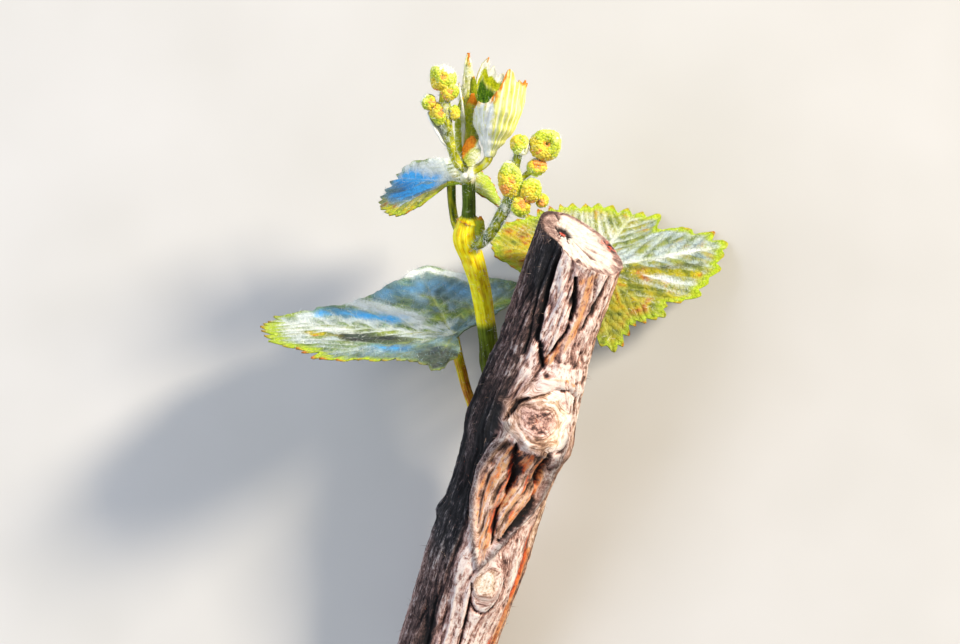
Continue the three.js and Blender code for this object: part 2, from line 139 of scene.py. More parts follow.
def near_path(places, path):
    """The distance from flat places to a line through points, how far along the line that is, 0 to 1, and
    its side: 1 on the left as one goes along the line, -1 on the right."""
    path = np.array(path, float)
    nearest = np.full(places.shape[:-1], np.inf)
    along, side = np.zeros(nearest.shape), np.zeros(nearest.shape)
    for number, (start, end) in enumerate(zip(path, path[1:])):
        step, off = end - start, places - start
        share = np.clip((off @ step) / (step @ step), 0, 1)
        distance = np.linalg.norm(off - share[..., None] * step, axis=-1)
        closer = distance < nearest
        along = np.where(closer, (number + share) / (len(path) - 1), along)
        side = np.where(closer, np.sign(step[0] * off[..., 1] - step[1] * off[..., 0]), side)
        nearest = np.where(closer, distance, nearest)
    return nearest, along, side


def inside_loop(places, loop):
    """True where a flat place is inside a closed loop of points."""
    x, y = places[..., 0], places[..., 1]
    inside = np.zeros(x.shape, bool)
    for (x0, y0), (x1, y1) in zip(loop, loop[1:] + loop[:1]):
        crossing = (y0 > y) != (y1 > y)
        reach = x0 + (y - y0) * (x1 - x0) / ((y1 - y0) or 1e-9)
        inside ^= crossing & (x < reach)
    return inside


# Pieces
def new_piece(name, points, faces, materials, nodes, masks, flat, faces_of=None):
    """A finished piece of standing points: a smooth mesh in the frame, with its masks and its flat map."""
    mesh = bpy.data.meshes.new(name)
    mesh.from_pydata(laid(points).tolist(), [], [tuple(face) for face in faces])
    mesh.polygons.foreach_set("use_smooth", np.ones(len(mesh.polygons), bool))
    for material in materials:
        mesh.materials.append(material)
    if faces_of is not None:
        mesh.polygons.foreach_set("material_index", np.asarray(faces_of, np.int32))
    for mask, values in masks.items():
        attribute = mesh.attributes.new(mask, "FLOAT", "POINT")
        attribute.data.foreach_set("value", np.asarray(values, np.float32).ravel())
    corners = np.zeros(len(mesh.loops), np.int32)
    mesh.loops.foreach_get("vertex_index", corners)
    layer = mesh.uv_layers.new(name="flat")
    layer.data.foreach_set("uv", np.asarray(flat, np.float32)[corners].ravel())
    return finished(name, mesh, nodes)


def placed(name, data):
    """An object of this data, in the scene."""
    made = bpy.data.objects.new(name, data)
    bpy.context.scene.collection.objects.link(made)
    return made


def finished(name, mesh, nodes=()):
    """The object of a mesh, kept above the floor. It rides on the one body and stands for these nodes."""
    mesh.validate()
    places = np.zeros(3 * len(mesh.vertices))
    mesh.vertices.foreach_get("co", places)
    places[2::3] = np.maximum(places[2::3], 0)
    mesh.vertices.foreach_set("co", places)
    piece = placed(name, mesh)
    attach(piece, "root")
    if nodes:
        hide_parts(*nodes)
    return piece


def grid_faces(rows, columns, closed, start=0):
    """The four-sided faces between rows of points, which run anticlockwise seen from the last row."""
    low = start + np.arange(rows - 1)[:, None] * columns
    side = np.arange(columns if closed else columns - 1)[None, :]
    following = (side + 1) % columns
    corners = [low + side, low + following, low + columns + following, low + columns + side]
    return np.stack(corners, -1).reshape(-1, 4)


def curve_point(stations, share):
    """A point of the smooth curve through stations, share from 0 to 1."""
    last = len(stations) - 1
    number = min(int(share * last), last - 1)
    weight = share * last - number
    p1, p2 = stations[number], stations[number + 1]
    p0 = stations[number - 1] if number else 2 * p1 - p2
    p3 = stations[number + 2] if number + 2 <= last else 2 * p2 - p1
    before, middle, after = (np.linalg.norm(b - a) ** 0.5 for a, b in ((p0, p1), (p1, p2), (p2, p3)))
    leave = ((p1 - p0) / before - (p2 - p0) / (before + middle) + (p2 - p1) / middle) * middle
    arrive = ((p2 - p1) / middle - (p3 - p1) / (middle + after) + (p3 - p2) / after) * middle
    return (p1 + leave * weight + (3 * (p2 - p1) - 2 * leave - arrive) * weight ** 2
            + (2 * (p1 - p2) + leave + arrive) * weight ** 3)


def end_fans(first, last, top, count):
    """Triangles that close the first ring of points and the ring that starts at top."""
    fans = []
    for side in range(count):
        following = (side + 1) % count
        fans.append((first, following, side))
        fans.append((last, top + side, top + following))
    return fans


class Limb:
    """A round limb along the smooth curve through stations of (x, y, z, radius)."""

    def __init__(self, stations, sides, steps):
        rows = np.array(stations, float)
        self.shares = np.linspace(0, 1, steps + 1)
        self.centres = np.array([curve_point(rows[:, :3], share) for share in self.shares])
        self.radii = between(list(zip(np.linspace(0, 1, len(rows)), rows[:, 3])), self.shares)
        self.turns = 2 * np.pi * np.arange(sides) / sides
        heading = np.gradient(self.centres, axis=0)
        heading /= np.linalg.norm(heading, axis=1)[:, None]
        steps_long = np.linalg.norm(np.diff(self.centres, axis=0), axis=1)
        self.lengths = np.concatenate([[0], np.cumsum(steps_long)])
        right = np.cross(heading[0], [0, 1, 0.01])
        self.rights, self.ups = [], []
        for direction in heading:
            right = right - (right @ direction) * direction
            right = right / np.linalg.norm(right)
            self.rights.append(right)
            self.ups.append(np.cross(direction, right))
        self.rights, self.ups = np.array(self.rights), np.array(self.ups)

    def places(self):
        """Height along the limb and angle round it of each point of its skin."""
        return np.broadcast_arrays(self.lengths[:, None], self.turns[None, :])

    def skin(self, relief=0.0):
        """Points and faces of the closed skin, with relief added to the radius."""
        radius = self.radii[:, None] + relief
        ring = (self.centres[:, None]
                + self.rights[:, None] * (radius * np.cos(self.turns))[..., None]
                + self.ups[:, None] * (radius * np.sin(self.turns))[..., None])
        rows, sides = ring.shape[:2]
        points = np.concatenate([ring.reshape(-1, 3), self.centres[[0, -1]]])
        ends = end_fans(rows * sides, rows * sides + 1, (rows - 1) * sides, sides)
        return points, grid_faces(rows, sides, True).tolist() + ends

    def flat(self):
        """The flat map of the skin in millimetres: round it and along it."""
        height, turn = self.places()
        flat = np.stack([turn * self.radii.mean(), height], -1).reshape(-1, 2)
        return np.concatenate([flat, flat[[0, -1]]])


def with_ends(values):
    """A mask of a limb's rings, with a value for the middle point of each end."""
    values = np.asarray(values, float)
    return np.concatenate([values.ravel(), [values[0].mean(), values[-1].mean()]])


def joined(parts):
    """One list of points and one of faces from several (points, faces)."""
    points, faces, count = [], [], 0
    for some_points, some_faces in parts:
        points.append(np.asarray(some_points, float))
        faces += [tuple(corner + count for corner in face) for face in some_faces]
        count += len(some_points)
    return np.concatenate(points), faces


# Finishes
def linear(code):
    """An sRGB hex colour as the linear red, green, blue and alpha that a shader takes."""
    parts = [int(code[at:at + 2], 16) / 255 for at in (1, 3, 5)]
    return (*(c / 12.92 if c <= 0.04045 else ((c + 0.055) / 1.055) ** 2.4 for c in parts), 1.0)


def add_node(tree, family, kind, inputs=None, stops=(), **settings):
    """A node with its settings, its colour stops, and its inputs set to values or linked from nodes."""
    made = tree.nodes.new(family + kind)
    for setting, value in settings.items():
        setattr(made, setting, value)
    for number, (place, code) in enumerate(stops):
        elements = made.color_ramp.elements
        stop = elements[number] if number < 2 else elements.new(place)
        stop.position = place
        stop.color = linear(code)
    for socket, value in (inputs or {}).items():
        if isinstance(value, bpy.types.Node):
            value = next(output for output in value.outputs if output.enabled)
        if isinstance(value, bpy.types.NodeSocket):
            tree.links.new(value, made.inputs[socket])
        else:
            made.inputs[socket].default_value = linear(value) if str(value).startswith("#") else value
    return made


def finish_of(name, looks, *shades):
    """The material of this name, made once. Its looks add their nodes and give the inputs of the skin."""
    material = bpy.data.materials.get(name)
    if not material:
        material = bpy.data.materials.new(name)
        material.use_nodes = True
        material.node_tree.nodes.clear()
        add = functools.partial(add_node, material.node_tree, "ShaderNode")
        skin = add("BsdfPrincipled", looks(add, *shades))
        add("OutputMaterial", {"Surface": skin})
    return material


def mottled(add, cell, roughness, *shades):
    """A plain matt skin whose colour wanders between shades, in patches about one cell wide."""
    place = add("TexCoord").outputs["Object"]
    tint = add("TexNoise", {"Vector": place, "Scale": 1 / cell})
    colour = add("ValToRGB", {"Fac": tint}, shades)
    return {"Base Color": colour, "Roughness": roughness}


# The cell, the roughness and the shades of each mottled finish
MOTTLED = {
    # Leaf down is a felt of fine white hairs, which scatters light and hides the green below it
    "white vine down": (2.5 * MM, 0.95, (0.3, "#d4dedb"), (0.7, "#f6faf5")),
    # Down in painted shade is blue-grey, as down that only the sky lights
    "vine down in the shade": (2.5 * MM, 0.95, (0.3, "#5f8599"), (0.7, "#a3c0c8")),
    # A torn bark thread is dry, matt and straw-brown
    "torn bark thread": (1.5 * MM, 0.9, (0.35, "#3a2a26"), (0.5, "#8f7263"), (0.65, "#cdb39d")),
    # The floor is plain matt card
    "pale card": (40 * MM, 0.9, (0.3, "#c9c7c2"), (0.7, "#cfcdc9")),
}


def mottled_finish(name):
    """The mottled finish of this name."""
    return finish_of(name, mottled, *MOTTLED[name])


# Vine bark is dead, stringy cork: dry and matt, grey-black where weathered, pale where the wood under it
# lies bare, tan where freshly split and red-orange along the deepest fibres. On its shaded side the bark is
# painted dark as shade over the grey-black weathering.
# Its fibres, specks and pits are noise: cell width in millimetres, how long a cell is, detail, roughness.
BARK_NOISE = [(0.24, 8, 8, 0.7), (0.5, 1.8, 8, 0.75), (0.85, 3, 6, 0.7)]


def vine_bark(add):
    tone, bare, soot, rust, red = (add("Attribute", attribute_name=mask).outputs["Fac"]
                                   for mask in ("tone", "bare", "soot", "rust", "red"))
    flat = add("TexCoord").outputs["UV"]
    layers = []
    for cell, length, detail, roughness in BARK_NOISE:
        long_cells = add("Mapping", {"Vector": flat, "Scale": (1, 1 / length, 1)})
        looks = {"Vector": long_cells, "Scale": 1 / cell, "Detail": detail, "Roughness": roughness}
        layers.append(add("TexNoise", looks))
    fibres, specks, hollows = layers
    pits = add("MapRange", {"Value": hollows, "From Min": 0.37, "From Max": 0.47})
    shade = add("Math", {0: pits, 1: 0.5, 2: 0.5}, operation="MULTIPLY_ADD")
    mixed = add("Math", {0: fibres, 1: 1.7, 2: tone}, operation="MULTIPLY_ADD")
    mixed = add("Math", {0: specks, 1: 1.4, 2: mixed}, operation="MULTIPLY_ADD")
    mixed = add("MapRange", {"Value": mixed, "From Min": 1.55, "From Max": 2.55})
    mixed = add("Math", {0: mixed, 1: shade}, operation="MULTIPLY")
    colour = add("ValToRGB", {"Fac": mixed}, [
        (0.0, "#0c0707"), (0.2, "#3a2829"), (0.38, "#71524a"), (0.55, "#ae8275"), (0.72, "#dcb4a8"),
        (0.95, "#f8e9e0")])
    # The dark layer: grey-black weathering, and painted shade on the bark's shaded side
    weathered_and_shaded = add("ValToRGB", {"Fac": mixed}, [
        (0.0, "#030204"), (0.3, "#0d0b0f"), (0.55, "#232125"), (0.75, "#605a5c"), (0.95, "#a39d9b")])
    pale = add("ValToRGB", {"Fac": mixed}, [
        (0.0, "#38241f"), (0.28, "#a37656"), (0.46, "#d8ad86"), (0.7, "#f6e2c6"), (1.0, "#fffaf3")])
    tan = add("ValToRGB", {"Fac": mixed}, [
        (0.0, "#3a1a0e"), (0.3, "#a04c24"), (0.55, "#cc743a"), (0.9, "#e4a868")])
    ruddy = add("ValToRGB", {"Fac": mixed}, [
        (0.0, "#2a0a04"), (0.3, "#8c2406"), (0.55, "#d2480f"), (0.9, "#ef8441")])
    broken = add("Math", {0: specks, 1: fibres}, operation="ADD")
    for cover, layer, evenness in ((bare, pale, 0), (soot, weathered_and_shaded, 0), (rust, tan, 1), (red, ruddy, 1)):
        if evenness:
            cover = add("Math", {0: broken, 1: 2.0, 2: cover}, operation="MULTIPLY_ADD")
            cover = add("MapRange", {"Value": cover, "From Min": 2.35, "From Max": 2.9, "To Max": 0.92})
        colour = add("Mix", {0: cover, 6: colour, 7: layer}, data_type="RGBA")
    height = 0.0
    for layer, weight in ((fibres, 0.26), (specks, 0.24), (pits, 0.14)):
        height = add("Math", {0: layer, 1: weight, 2: height}, operation="MULTIPLY_ADD")
    relief = add("Bump", {"Height": height, "Distance": MM})
    return {"Base Color": colour, "Roughness": 0.9, "Normal": relief}


# Vine wood cut across: pale, dry and ringed round a reddish hollow pith, with fine rays and checks.
def cut_vine_wood(add):
    tone, rust, soot = (add("Attribute", attribute_name=mask).outputs["Fac"]
                        for mask in ("tone", "rust", "soot"))
    place = add("TexCoord").outputs["Object"]
    pores = add("TexNoise", {"Vector": place, "Scale": 1 / (0.35 * MM), "Detail": 8, "Roughness": 0.7})
    mixed = add("Math", {0: pores, 1: 1.0, 2: tone}, operation="MULTIPLY_ADD")
    mixed = add("Math", {0: mixed, 1: 0.5}, operation="SUBTRACT")
    colour = add("ValToRGB", {"Fac": mixed}, [
        (0.0, "#3d2a2a"), (0.28, "#8f7068"), (0.5, "#c3aaa0"), (0.68, "#e2d6cc"), (1.0, "#efe9e2")])
    # On the cut face the dark mask is only the dark pith, the checks and a stained blotch
    for cover, code in ((rust, "#cf3a0c"), (soot, "#1d0d0f")):
        colour = add("Mix", {0: cover, 6: colour, 7: code}, data_type="RGBA")
    relief = add("Bump", {"Height": pores, "Distance": 0.2 * MM})
    return {"Base Color": colour, "Roughness": 0.8, "Normal": relief}


# Old wood, in millimetres: its length on the axis, the radius at which its bark is unrolled, its lean to the
# right, and how the cut at its top falls to the right and rises to the back
WOOD_LENGTH = 101.0
WOOD_RING = 10.5
LEAN = math.radians(17.6)
CUT_FALL_RIGHT = 0.6
CUT_RISE_BACK = 0.27
CUT_MIDDLE = np.array([WOOD_LENGTH * math.sin(LEAN), 0, WOOD_LENGTH * math.cos(LEAN)])
# (Height, radius)
WOOD_RADII = [
    (0, 10.1), (10, 10.3), (20, 10.5), (28, 10.85), (42, 10.45), (47, 10.4), (52, 10.7),
    (58, 11.7), (65, 11.2), (72, 10.7), (77, 10.15), (82, 9.95), (115, 9.8),
]
# Height, angle round the wood, how far it stands out, spread along and spread round in degrees
WOOD_BUMPS = [
    (59.5, -70, 2.2, 6.5, 33), (22.5, -62, 1.0, 4.0, 24), (36.5, 180, 0.8, 1.6, 30),
    (46.0, 100, 1.2, 6.0, 30), (58.5, 8, 1.0, 5.0, 26),
]
FLUTES = 7
FLUTE_DEPTH = 0.16
FLUTE_TWIST = 14
# One degree round the wood, in millimetres of bark
ARC = math.radians(WOOD_RING)

# Marks on the bark, as (height, angle round the wood). Angle 0 is the right side and -90 the front.
UPPER_KNOT = (64.6, -80)
LOWER_KNOT = (26.8, -76)
BACK_KNOT = (45.0, 100)
# Each knot: its eye, how far its rings are squeezed across, where its dome starts to fall and where it ends,
# how strongly its fibres stand out and show, and their seed
KNOTS = [(UPPER_KNOT, 0.95, 5.6, 7.4, 0.12, 0.13, 17), (LOWER_KNOT, 1.15, 2.7, 3.7, 0.16, 0.2, 19),
         (BACK_KNOT, 1.0, 3.2, 4.6, 0.2, 0.2, 29)]
# Where the grain parts: (height, angle, radius of the part that it leaves out)
GRAIN_ISLANDS = [(64.6, -76, 5.4), (26.6, -75, 2.9), (45.0, 100, 4.2), (88.0, -8, 1.6), (36.5, 178, 2.0)]
KNOT_SEAM = [(62.6, -111.8), (66.7, -105.8), (68.8, -92.2), (71.5, -67.1), (71.6, -47.2), (70.3, -36.1),
             (64.7, -31.6), (60.9, -38.8), (58.3, -52)]
TONGUE = [(59.5, -106), (55.1, -116.9), (49.7, -124), (44.5, -121.9), (38.6, -112.3), (33.7, -100.4),
          (29.6, -88), (35.4, -76), (40.5, -63.9), (43.7, -49), (47.0, -40), (51.1, -38), (57.5, -52),
          (58.2, -72), (58.4, -92)]
LEFT_RIBBON = [(62.0, -108), (58.8, -109), (55.1, -117.8), (49.7, -125.9), (44.5, -123.5), (38.6, -113.5),
               (33.7, -101.6), (29.8, -91)]
RIGHT_RIBBON = [(61.5, -42), (57.9, -44), (51.1, -34), (47.0, -34.5), (43.7, -46), (40.5, -61.5),
                (35.4, -74.5), (29.6, -90)]
V_PLATE = [(104, -118), (94.8, -87.1), (91.3, -79.2), (88.5, -78.9), (84.7, -77.4), (80.2, -86.4),
           (76.4, -94.5), (81.7, -110.9), (89.5, -116.5)]
# Cracks: half width and depth in millimetres, then their line
CRACKS = [
    (1.3, 2.0, [(58.5, -94), (54.5, -88), (51.1, -84), (47.0, -84.1)]),
    (0.6, 1.3, [(48.5, -84), (47.0, -84.1), (42.9, -89.1), (38.4, -85.2), (35.4, -82.8)]),
    (1.1, 2.0, [(58.5, -62), (53.2, -54), (49.6, -46)]),
    (0.5, 1.3, [(49.6, -46), (46.2, -45), (43.2, -55), (40, -67), (36.5, -76)]),
    (0.28, 0.7, [(57, -37), (51.5, -28), (46.6, -29), (43.2, -40), (40, -55), (35, -68)]),
    (0.3, 0.7, [(59, -116), (55, -124), (49.6, -131), (44, -129), (38, -119)]),
    (1.2, 2.0, [(95.5, -89), (92.5, -84), (89.5, -78.5), (86.8, -78)]),
    (0.4, 1.2, [(86.8, -78.5), (84, -78.5), (80.2, -86.4), (77.2, -92.5)]),
    (0.85, 1.4, [(97.4, -46), (92.6, -49.5), (88.1, -54), (85.5, -58)]),
    (0.45, 1.0, [(97.6, -23), (90.9, -31.8), (86, -34.2), (82.1, -34.9)]),
    (0.75, 1.3, [(103, -120), (96, -119), (89.5, -117.5), (81.7, -112.5), (77.4, -99), (75.6, -92)]),
    (0.4, 0.9, [(100.9, -128), (92, -131), (82, -124), (76, -120)]),
    (0.4, 0.8, KNOT_SEAM),
    (0.7, 1.0, [(62.5, -114), (66.5, -108), (68.5, -97)]),
    (0.55, 1.2, [(22.5, -87), (17.7, -84), (13.7, -81.6), (10, -80)]),
    (0.35, 0.8, [(26, -91), (22, -86), (20.2, -77), (19.9, -67), (21.5, -58), (26, -54)]),
    (0.45, 0.9, [(12, -55), (5, -48), (-2, -50)]),
    (0.45, 0.9, [(20, -128), (10, -122), (-2, -124)]),
    (0.5, 1.1, [(92, 20), (80, 26), (66, 24)]),
    (0.5, 1.1, [(30, 10), (18, 18), (6, 16)]),
    (0.6, 1.3, [(84, 150), (66, 158), (52, 152)]),
    (0.5, 1.2, [(30, 190), (14, 186), (-2, 190)]),
]
PALE_SIDE = [(71, -58), (71, -42), (66, -40), (61, -46)]
LICHEN = [(75, -135), (78, -112), (74, -92), (72, -74)]
# Streaks of fresh wood, as (which mask, half width in millimetres, line)
STREAKS = [
    ("red", 0.8, [(55.5, -91), (51, -89), (46, -93), (42, -93), (38, -89)]),
    ("red", 0.35, [(52, -68), (47, -66), (42, -72)]),
    ("rust", 1.15, [(95, -69), (91, -66.5), (87.4, -66.1), (84.3, -69.1), (80.5, -78), (76.8, -90)]),
    ("rust", 0.9, [(72, -22), (66, -16), (60, -12)]),
    ("red", 0.8, [(40, -34), (33, -27), (24, -30)]),
    ("rust", 1.3, [(34, -22), (24, -26), (12, -28), (2, -26)]),
    ("red", 0.6, [(14, -38), (6, -34), (-1, -36)]),
    ("rust", 0.35, [(73.4, -90), (74, -62), (73, -44)]),
    ("rust", 0.8, [(101, -60), (97, -64), (95, -80)]),
    ("red", 0.35, [(77, -20), (74, -14)]),
    ("rust", 0.9, [(100, 38), (96, 40)]),
]
# How wide the tongue's own grain is laid out at each height, in millimetres, and its middle
TONGUE_WIDTHS = [(29.6, 0), (35, 4.4), (39, 7), (60, 7)]
TONGUE_MIDDLE = -85 * ARC
# What runs along the grain, as noise: width and length in millimetres, layers and seed
ALONG_GRAIN = {
    "fibre": (1.5, 24, 3, 11), "strand": (0.55, 9, 2, 23), "thread": (0.3, 5, 2, 37),
    "fissure": (2.6, 34, 2, 31), "plate": (3.4, 40, 2, 47),
}


def wood_point(height, turn, radius):
    """Standing points by height along the leaning wood, turn round it and distance from its axis."""
    across = radius * np.cos(turn)
    return np.stack([
        height * math.sin(LEAN) + across * math.cos(LEAN),
        radius * np.sin(turn),
        height * math.cos(LEAN) - across * math.sin(LEAN),
    ], -1)


def wood_radius(height, turn):
    """The wood's own radius, with its flutes and swellings."""
    radius = between(WOOD_RADII, height) + FLUTE_DEPTH * np.sin(FLUTES * turn + height / FLUTE_TWIST)
    for at, angle, out, along, spread in WOOD_BUMPS:
        off = np.degrees(np.angle(np.exp(1j * (turn - math.radians(angle)))))
        radius = radius + out * np.exp(-((height - at) / along) ** 2 - (off / spread) ** 2)
    return radius


def cut_height(turn):
    """Height on the axis at which a line up the bark meets the slanting cut."""
    radius = wood_radius(np.full(np.shape(turn), WOOD_LENGTH), turn)
    across = radius * np.cos(turn)
    rise = (CUT_MIDDLE[2] + CUT_FALL_RIGHT * (CUT_MIDDLE[0] - across * math.cos(LEAN))
            + CUT_RISE_BACK * radius * np.sin(turn) + across * math.sin(LEAN))
    return rise / (math.cos(LEAN) + CUT_FALL_RIGHT * math.sin(LEAN))


def on_bark(marks):
    """Marks of (height, angle) as flat places on the unrolled bark, in millimetres."""
    return [(angle * ARC, height) for height, angle in marks]


def grain_line(arc, height):
    """The line of the grain through a flat place: it runs up the wood and parts round each knot."""
    line = arc.copy()
    for knot_height, angle, size in GRAIN_ISLANDS:
        across = arc - angle * ARC
        away = across ** 2 + (0.62 * (height - knot_height)) ** 2
        line = line - across * size ** 2 / np.maximum(away, size ** 2)
    return line


def knot_rings(arc, height, knot, squeeze):
    """The distance from a knot's eye, a little uneven, and the turn round it."""
    across, up = arc - knot[1] * ARC, height - knot[0]
    uneven = 1 + 0.22 * layered(cells(arc / 3, height / 3), 2, 5)
    return np.hypot(across * squeeze, up) * uneven, np.arctan2(up, across)


def tongue_grain(flat, line):
    """The line of the grain, led along the two ribbons where it passes between and beside them."""
    height = flat[..., 1]
    # The lines of the two ribbons, run on above and below the tongue
    borders = (on_bark([(76, path[0][1]), *path, (12, -93)]) for path in (LEFT_RIBBON, RIGHT_RIBBON))
    past_left, past_right = (distance * side for distance, _, side in
                             (near_path(flat, border) for border in borders))
    width = between(TONGUE_WIDTHS, height)
    across = width * (past_left / np.maximum(past_left - past_right, 0.3) - 0.5)
    beside = np.where(past_right > 0, past_right + width / 2, across)
    beside = np.where(past_left < 0, past_left - width / 2, beside)
    outside = np.maximum(np.maximum(-past_left, past_right), 0)
    follows = fade(outside, 2.6) * stretch(height, 16, 31, 60, 66)
    return line * (1 - follows) + follows * (beside + TONGUE_MIDDLE)


def within(flat, marks, soft):
    """1 inside a closed line of marks, easing to 0 at its edge."""
    loop = on_bark(marks)
    edge = near_path(flat, loop + loop[:1])[0]
    return np.where(inside_loop(flat, loop), ease(edge, 0, soft), 0)


def ribbons(flat):
    """1 along the two ribbons of bark that frame the tongue."""
    ribbon = 0
    for path, widest, narrowest in ((LEFT_RIBBON, 0.95, 0.5), (RIGHT_RIBBON, 1.15, 0.6)):
        distance, along, _ = near_path(flat, on_bark(path))
        ribbon = np.maximum(ribbon, fade(distance, widest + (narrowest - widest) * along, 4))
    return ribbon


def cracks(flat, strand, thread):
    """How deep the cracks of the bark are, in millimetres, and a mask of them that is darker the deeper they
    are: partly dark fissures, partly painted shade in them.
    """
    deep, crack = 0, 0
    uneven = 0.8 + 0.35 * layered(cells(flat[..., 0] / 1.5, flat[..., 1] / 3), 2, 67)
    for half, depth, path in CRACKS:
        distance, along, _ = near_path(flat, on_bark(path))
        narrow = half * uneven * (0.35 + 0.65 * np.sin(np.pi * np.clip(along, 0.04, 0.96)))
        gash = fade(np.maximum(distance + 0.3 * narrow * strand + 0.1 * thread, 0), narrow)
        deep = deep + depth * gash
        crack = np.maximum(crack, gash * min(1, depth / 1.4))
    return deep, crack


def streaks(flat, strand, thread):
    """Masks of the rusty and of the red streaks of fresh wood."""
    masks = {"rust": 0, "red": 0}
    for mask, half, path in STREAKS:
        distance = near_path(flat, on_bark(path))[0]
        streak = fade(distance, half, 4) * (0.8 + 0.5 * strand + 0.3 * thread)
        masks[mask] = np.maximum(masks[mask], streak)
    return masks["rust"], masks["red"]


def bark_relief(height, angle):
    """How far the bark stands out of the wood's own radius, its masks, its grain and where it is frayed."""
    arc = angle * ARC
    flat = np.stack([arc, height], -1)
    line = tongue_grain(flat, grain_line(arc, height) + 0.35 * noise(cells(arc / 5, height / 9), 3))
    fibre, strand, thread, fissure, plate = (
        layered(ring_cells(np.radians(line / ARC), WOOD_RING / width, height / length), layers, seed)
        for width, length, layers, seed in ALONG_GRAIN.values())
    fissure = 1 - ease(np.abs(fissure), 0.0, 0.13)
    plate = ease(plate, -0.05, 0.08)
    flake = layered(cells(arc / 1.1, height / 1.6), 3, 53)
    relief = 0.30 * fibre + 0.12 * strand - 0.75 * fissure + 0.38 * plate + 0.12 * flake - 0.42
    tone = 0.52 + 0.17 * fibre + 0.16 * strand + 0.15 * thread - 0.34 * fissure + 0.09 * plate + 0.12 * flake

    # The sunlit front, painted lighter as light falls on it, and the blotchy bark over the upper knot
    sunlit = stretch(angle, -124, -104, -45, -18)
    tone += sunlit * (0.16 + 0.12 * (1 - ease(height, 26, 44)) + 0.13 * ease(height, 82, 92))
    blotchy = stretch(height, 68, 73, 77, 82) * ease(angle, -105, -85)
    tone += blotchy * (0.12 + 0.5 * layered(cells(arc / 1.3, height / 1.1), 3, 43))

    # The knots, with the ragged lower edge of the upper one
    rings, turns = zip(*(knot_rings(arc, height, knot, squeeze) for knot, squeeze, *_ in KNOTS))
    domes = [1 - ease(away, solid, edge) for away, (_, _, solid, edge, *_) in zip(rings, KNOTS)]
    upper, lower, _ = rings
    dome, small_dome, _ = domes
    knotty = np.maximum.reduce(domes)
    ragged = dome * (1 - ease(height - UPPER_KNOT[0], -4.5, -1.5))
    relief *= 1 - 0.72 * knotty
    tone = tone * (1 - 0.65 * knotty) + 0.43 * knotty
    for near, away, turn, (*_, stands_out, shows, seed) in zip(domes, rings, turns, KNOTS):
        swirl = near * layered(ring_cells(turn, 1.3, away / 0.62), 3, seed)
        relief += stands_out * swirl
        tone += shows * swirl
    relief += dome * (0.2 * fade(upper, 0.6) - 0.5 * fade(upper, 1.2))
    relief += 0.3 * small_dome + 0.35 * ragged * flake
    tone += 0.4 * ragged * (flake - 0.3) - 0.24 * fade(upper - 1.5, 0.5) - 0.14 * fade(upper - 3.6, 0.25)

    # The sunken tongue, the plate under the cut, the ribbons and the cracks
    sunk = within(flat, TONGUE, 1.0)
    relief = relief * (1 - 0.2 * sunk) + sunk * (-0.75 + 0.18 * strand + 0.22 * fibre + 0.3 * thread)
    tone += sunk * (0.1 * strand + 0.5 * thread - 0.07)
    raised = within(flat, V_PLATE, 0.5)
    relief += raised * (0.18 + 0.14 * strand)
    tone += raised * (0.3 + 0.3 * thread)
    ribbon = ribbons(flat)
    relief = relief * (1 - ribbon) + ribbon * (0.6 + 0.12 * strand)
    tone = tone * (1 - ribbon) + ribbon * (0.72 + 0.25 * strand)
    deep, crack = cracks(flat, strand, thread)
    relief -= deep
    # The cracks are painted dark: partly dark fissures, partly painted shade in them
    tone -= 1.2 * crack

    # Fresh wood, rusty or red along its deepest fibres. On the sunlit right edge the rust and the pale bare
    # wood are partly painted sunlight
    rust, red = streaks(flat, strand, thread)
    sunny = fade(angle + 12, 23)
    rust = np.maximum(rust, 0.85 * sunk * ease(thread + 0.2 * strand, -0.25, 0.35))
    rust = np.maximum(rust + 0.4 * fade(upper, 1.6) * dome, 0.62 * sunny * ease(fibre, 0.0, 0.5))
    red = np.maximum(red, 0.7 * sunk * ease(thread - 0.4 * strand, 0.3, 0.8))
    red = np.maximum(red, 0.45 * fade(upper, 1.1))

    # Bare pale wood, the shaded side painted dark as shade over its grey-black weathering, and the pale
    # lichen under the plate
    pale_side = near_path(flat, on_bark(PALE_SIDE))[0]
    bare = np.maximum.reduce([
        dome * ease(upper, 2.2, 4.2) * (0.3 + 0.7 * fade(pale_side, 3.8)),
        small_dome * (1 - ease(lower, 1.2, 3.4)) * 0.9,
        # The sunlit right edge, paler partly as painted sunlight
        sunny * (0.2 + 0.5 * ease(strand, -0.1, 0.5)),
        0.55 * sunk * ease(-thread - 0.5 * strand, -0.1, 0.5),
    ])
    # The shaded side, by angle round the wood, where the bark is painted dark as shade
    shade = stretch(-angle, 108, 128, 205, 250)
    patches = noise(cells(arc / 4, height / 12, 2), 61)
    soot = np.clip(shade * (0.9 + 0.3 * patches) + 0.25 * ease(patches, 0.2, 0.6), 0, 1)
    soot = soot * (1 - 0.3 * (1 - ease(height, 10, 34)))
    soot = soot * (1 - np.maximum.reduce([sunk, dome, 0.8 * small_dome, raised]))
    soot = np.maximum(soot * (1 - ribbon), 0.75 * ribbon)
    lichen = near_path(flat, on_bark(LICHEN))[0]
    # The pale side of the knot is lighter; painted shade darkens the top of the tongue under the upper knot
    # and the shaded side
    tone += 0.3 * fade(pale_side, 2.8) - 0.34 * sunk * fade(height - 57.5, 2.0) - 0.19 * sunny - 0.1 * shade
    tone += 0.3 * fade(lichen, 3.4) * ease(flake, 0.05, 0.3)
    masks = {"tone": np.clip(tone, -0.6 * crack, 1), "rust": np.clip(rust, 0, 1), "red": np.clip(red, 0, 1),
             "bare": bare, "soot": soot}

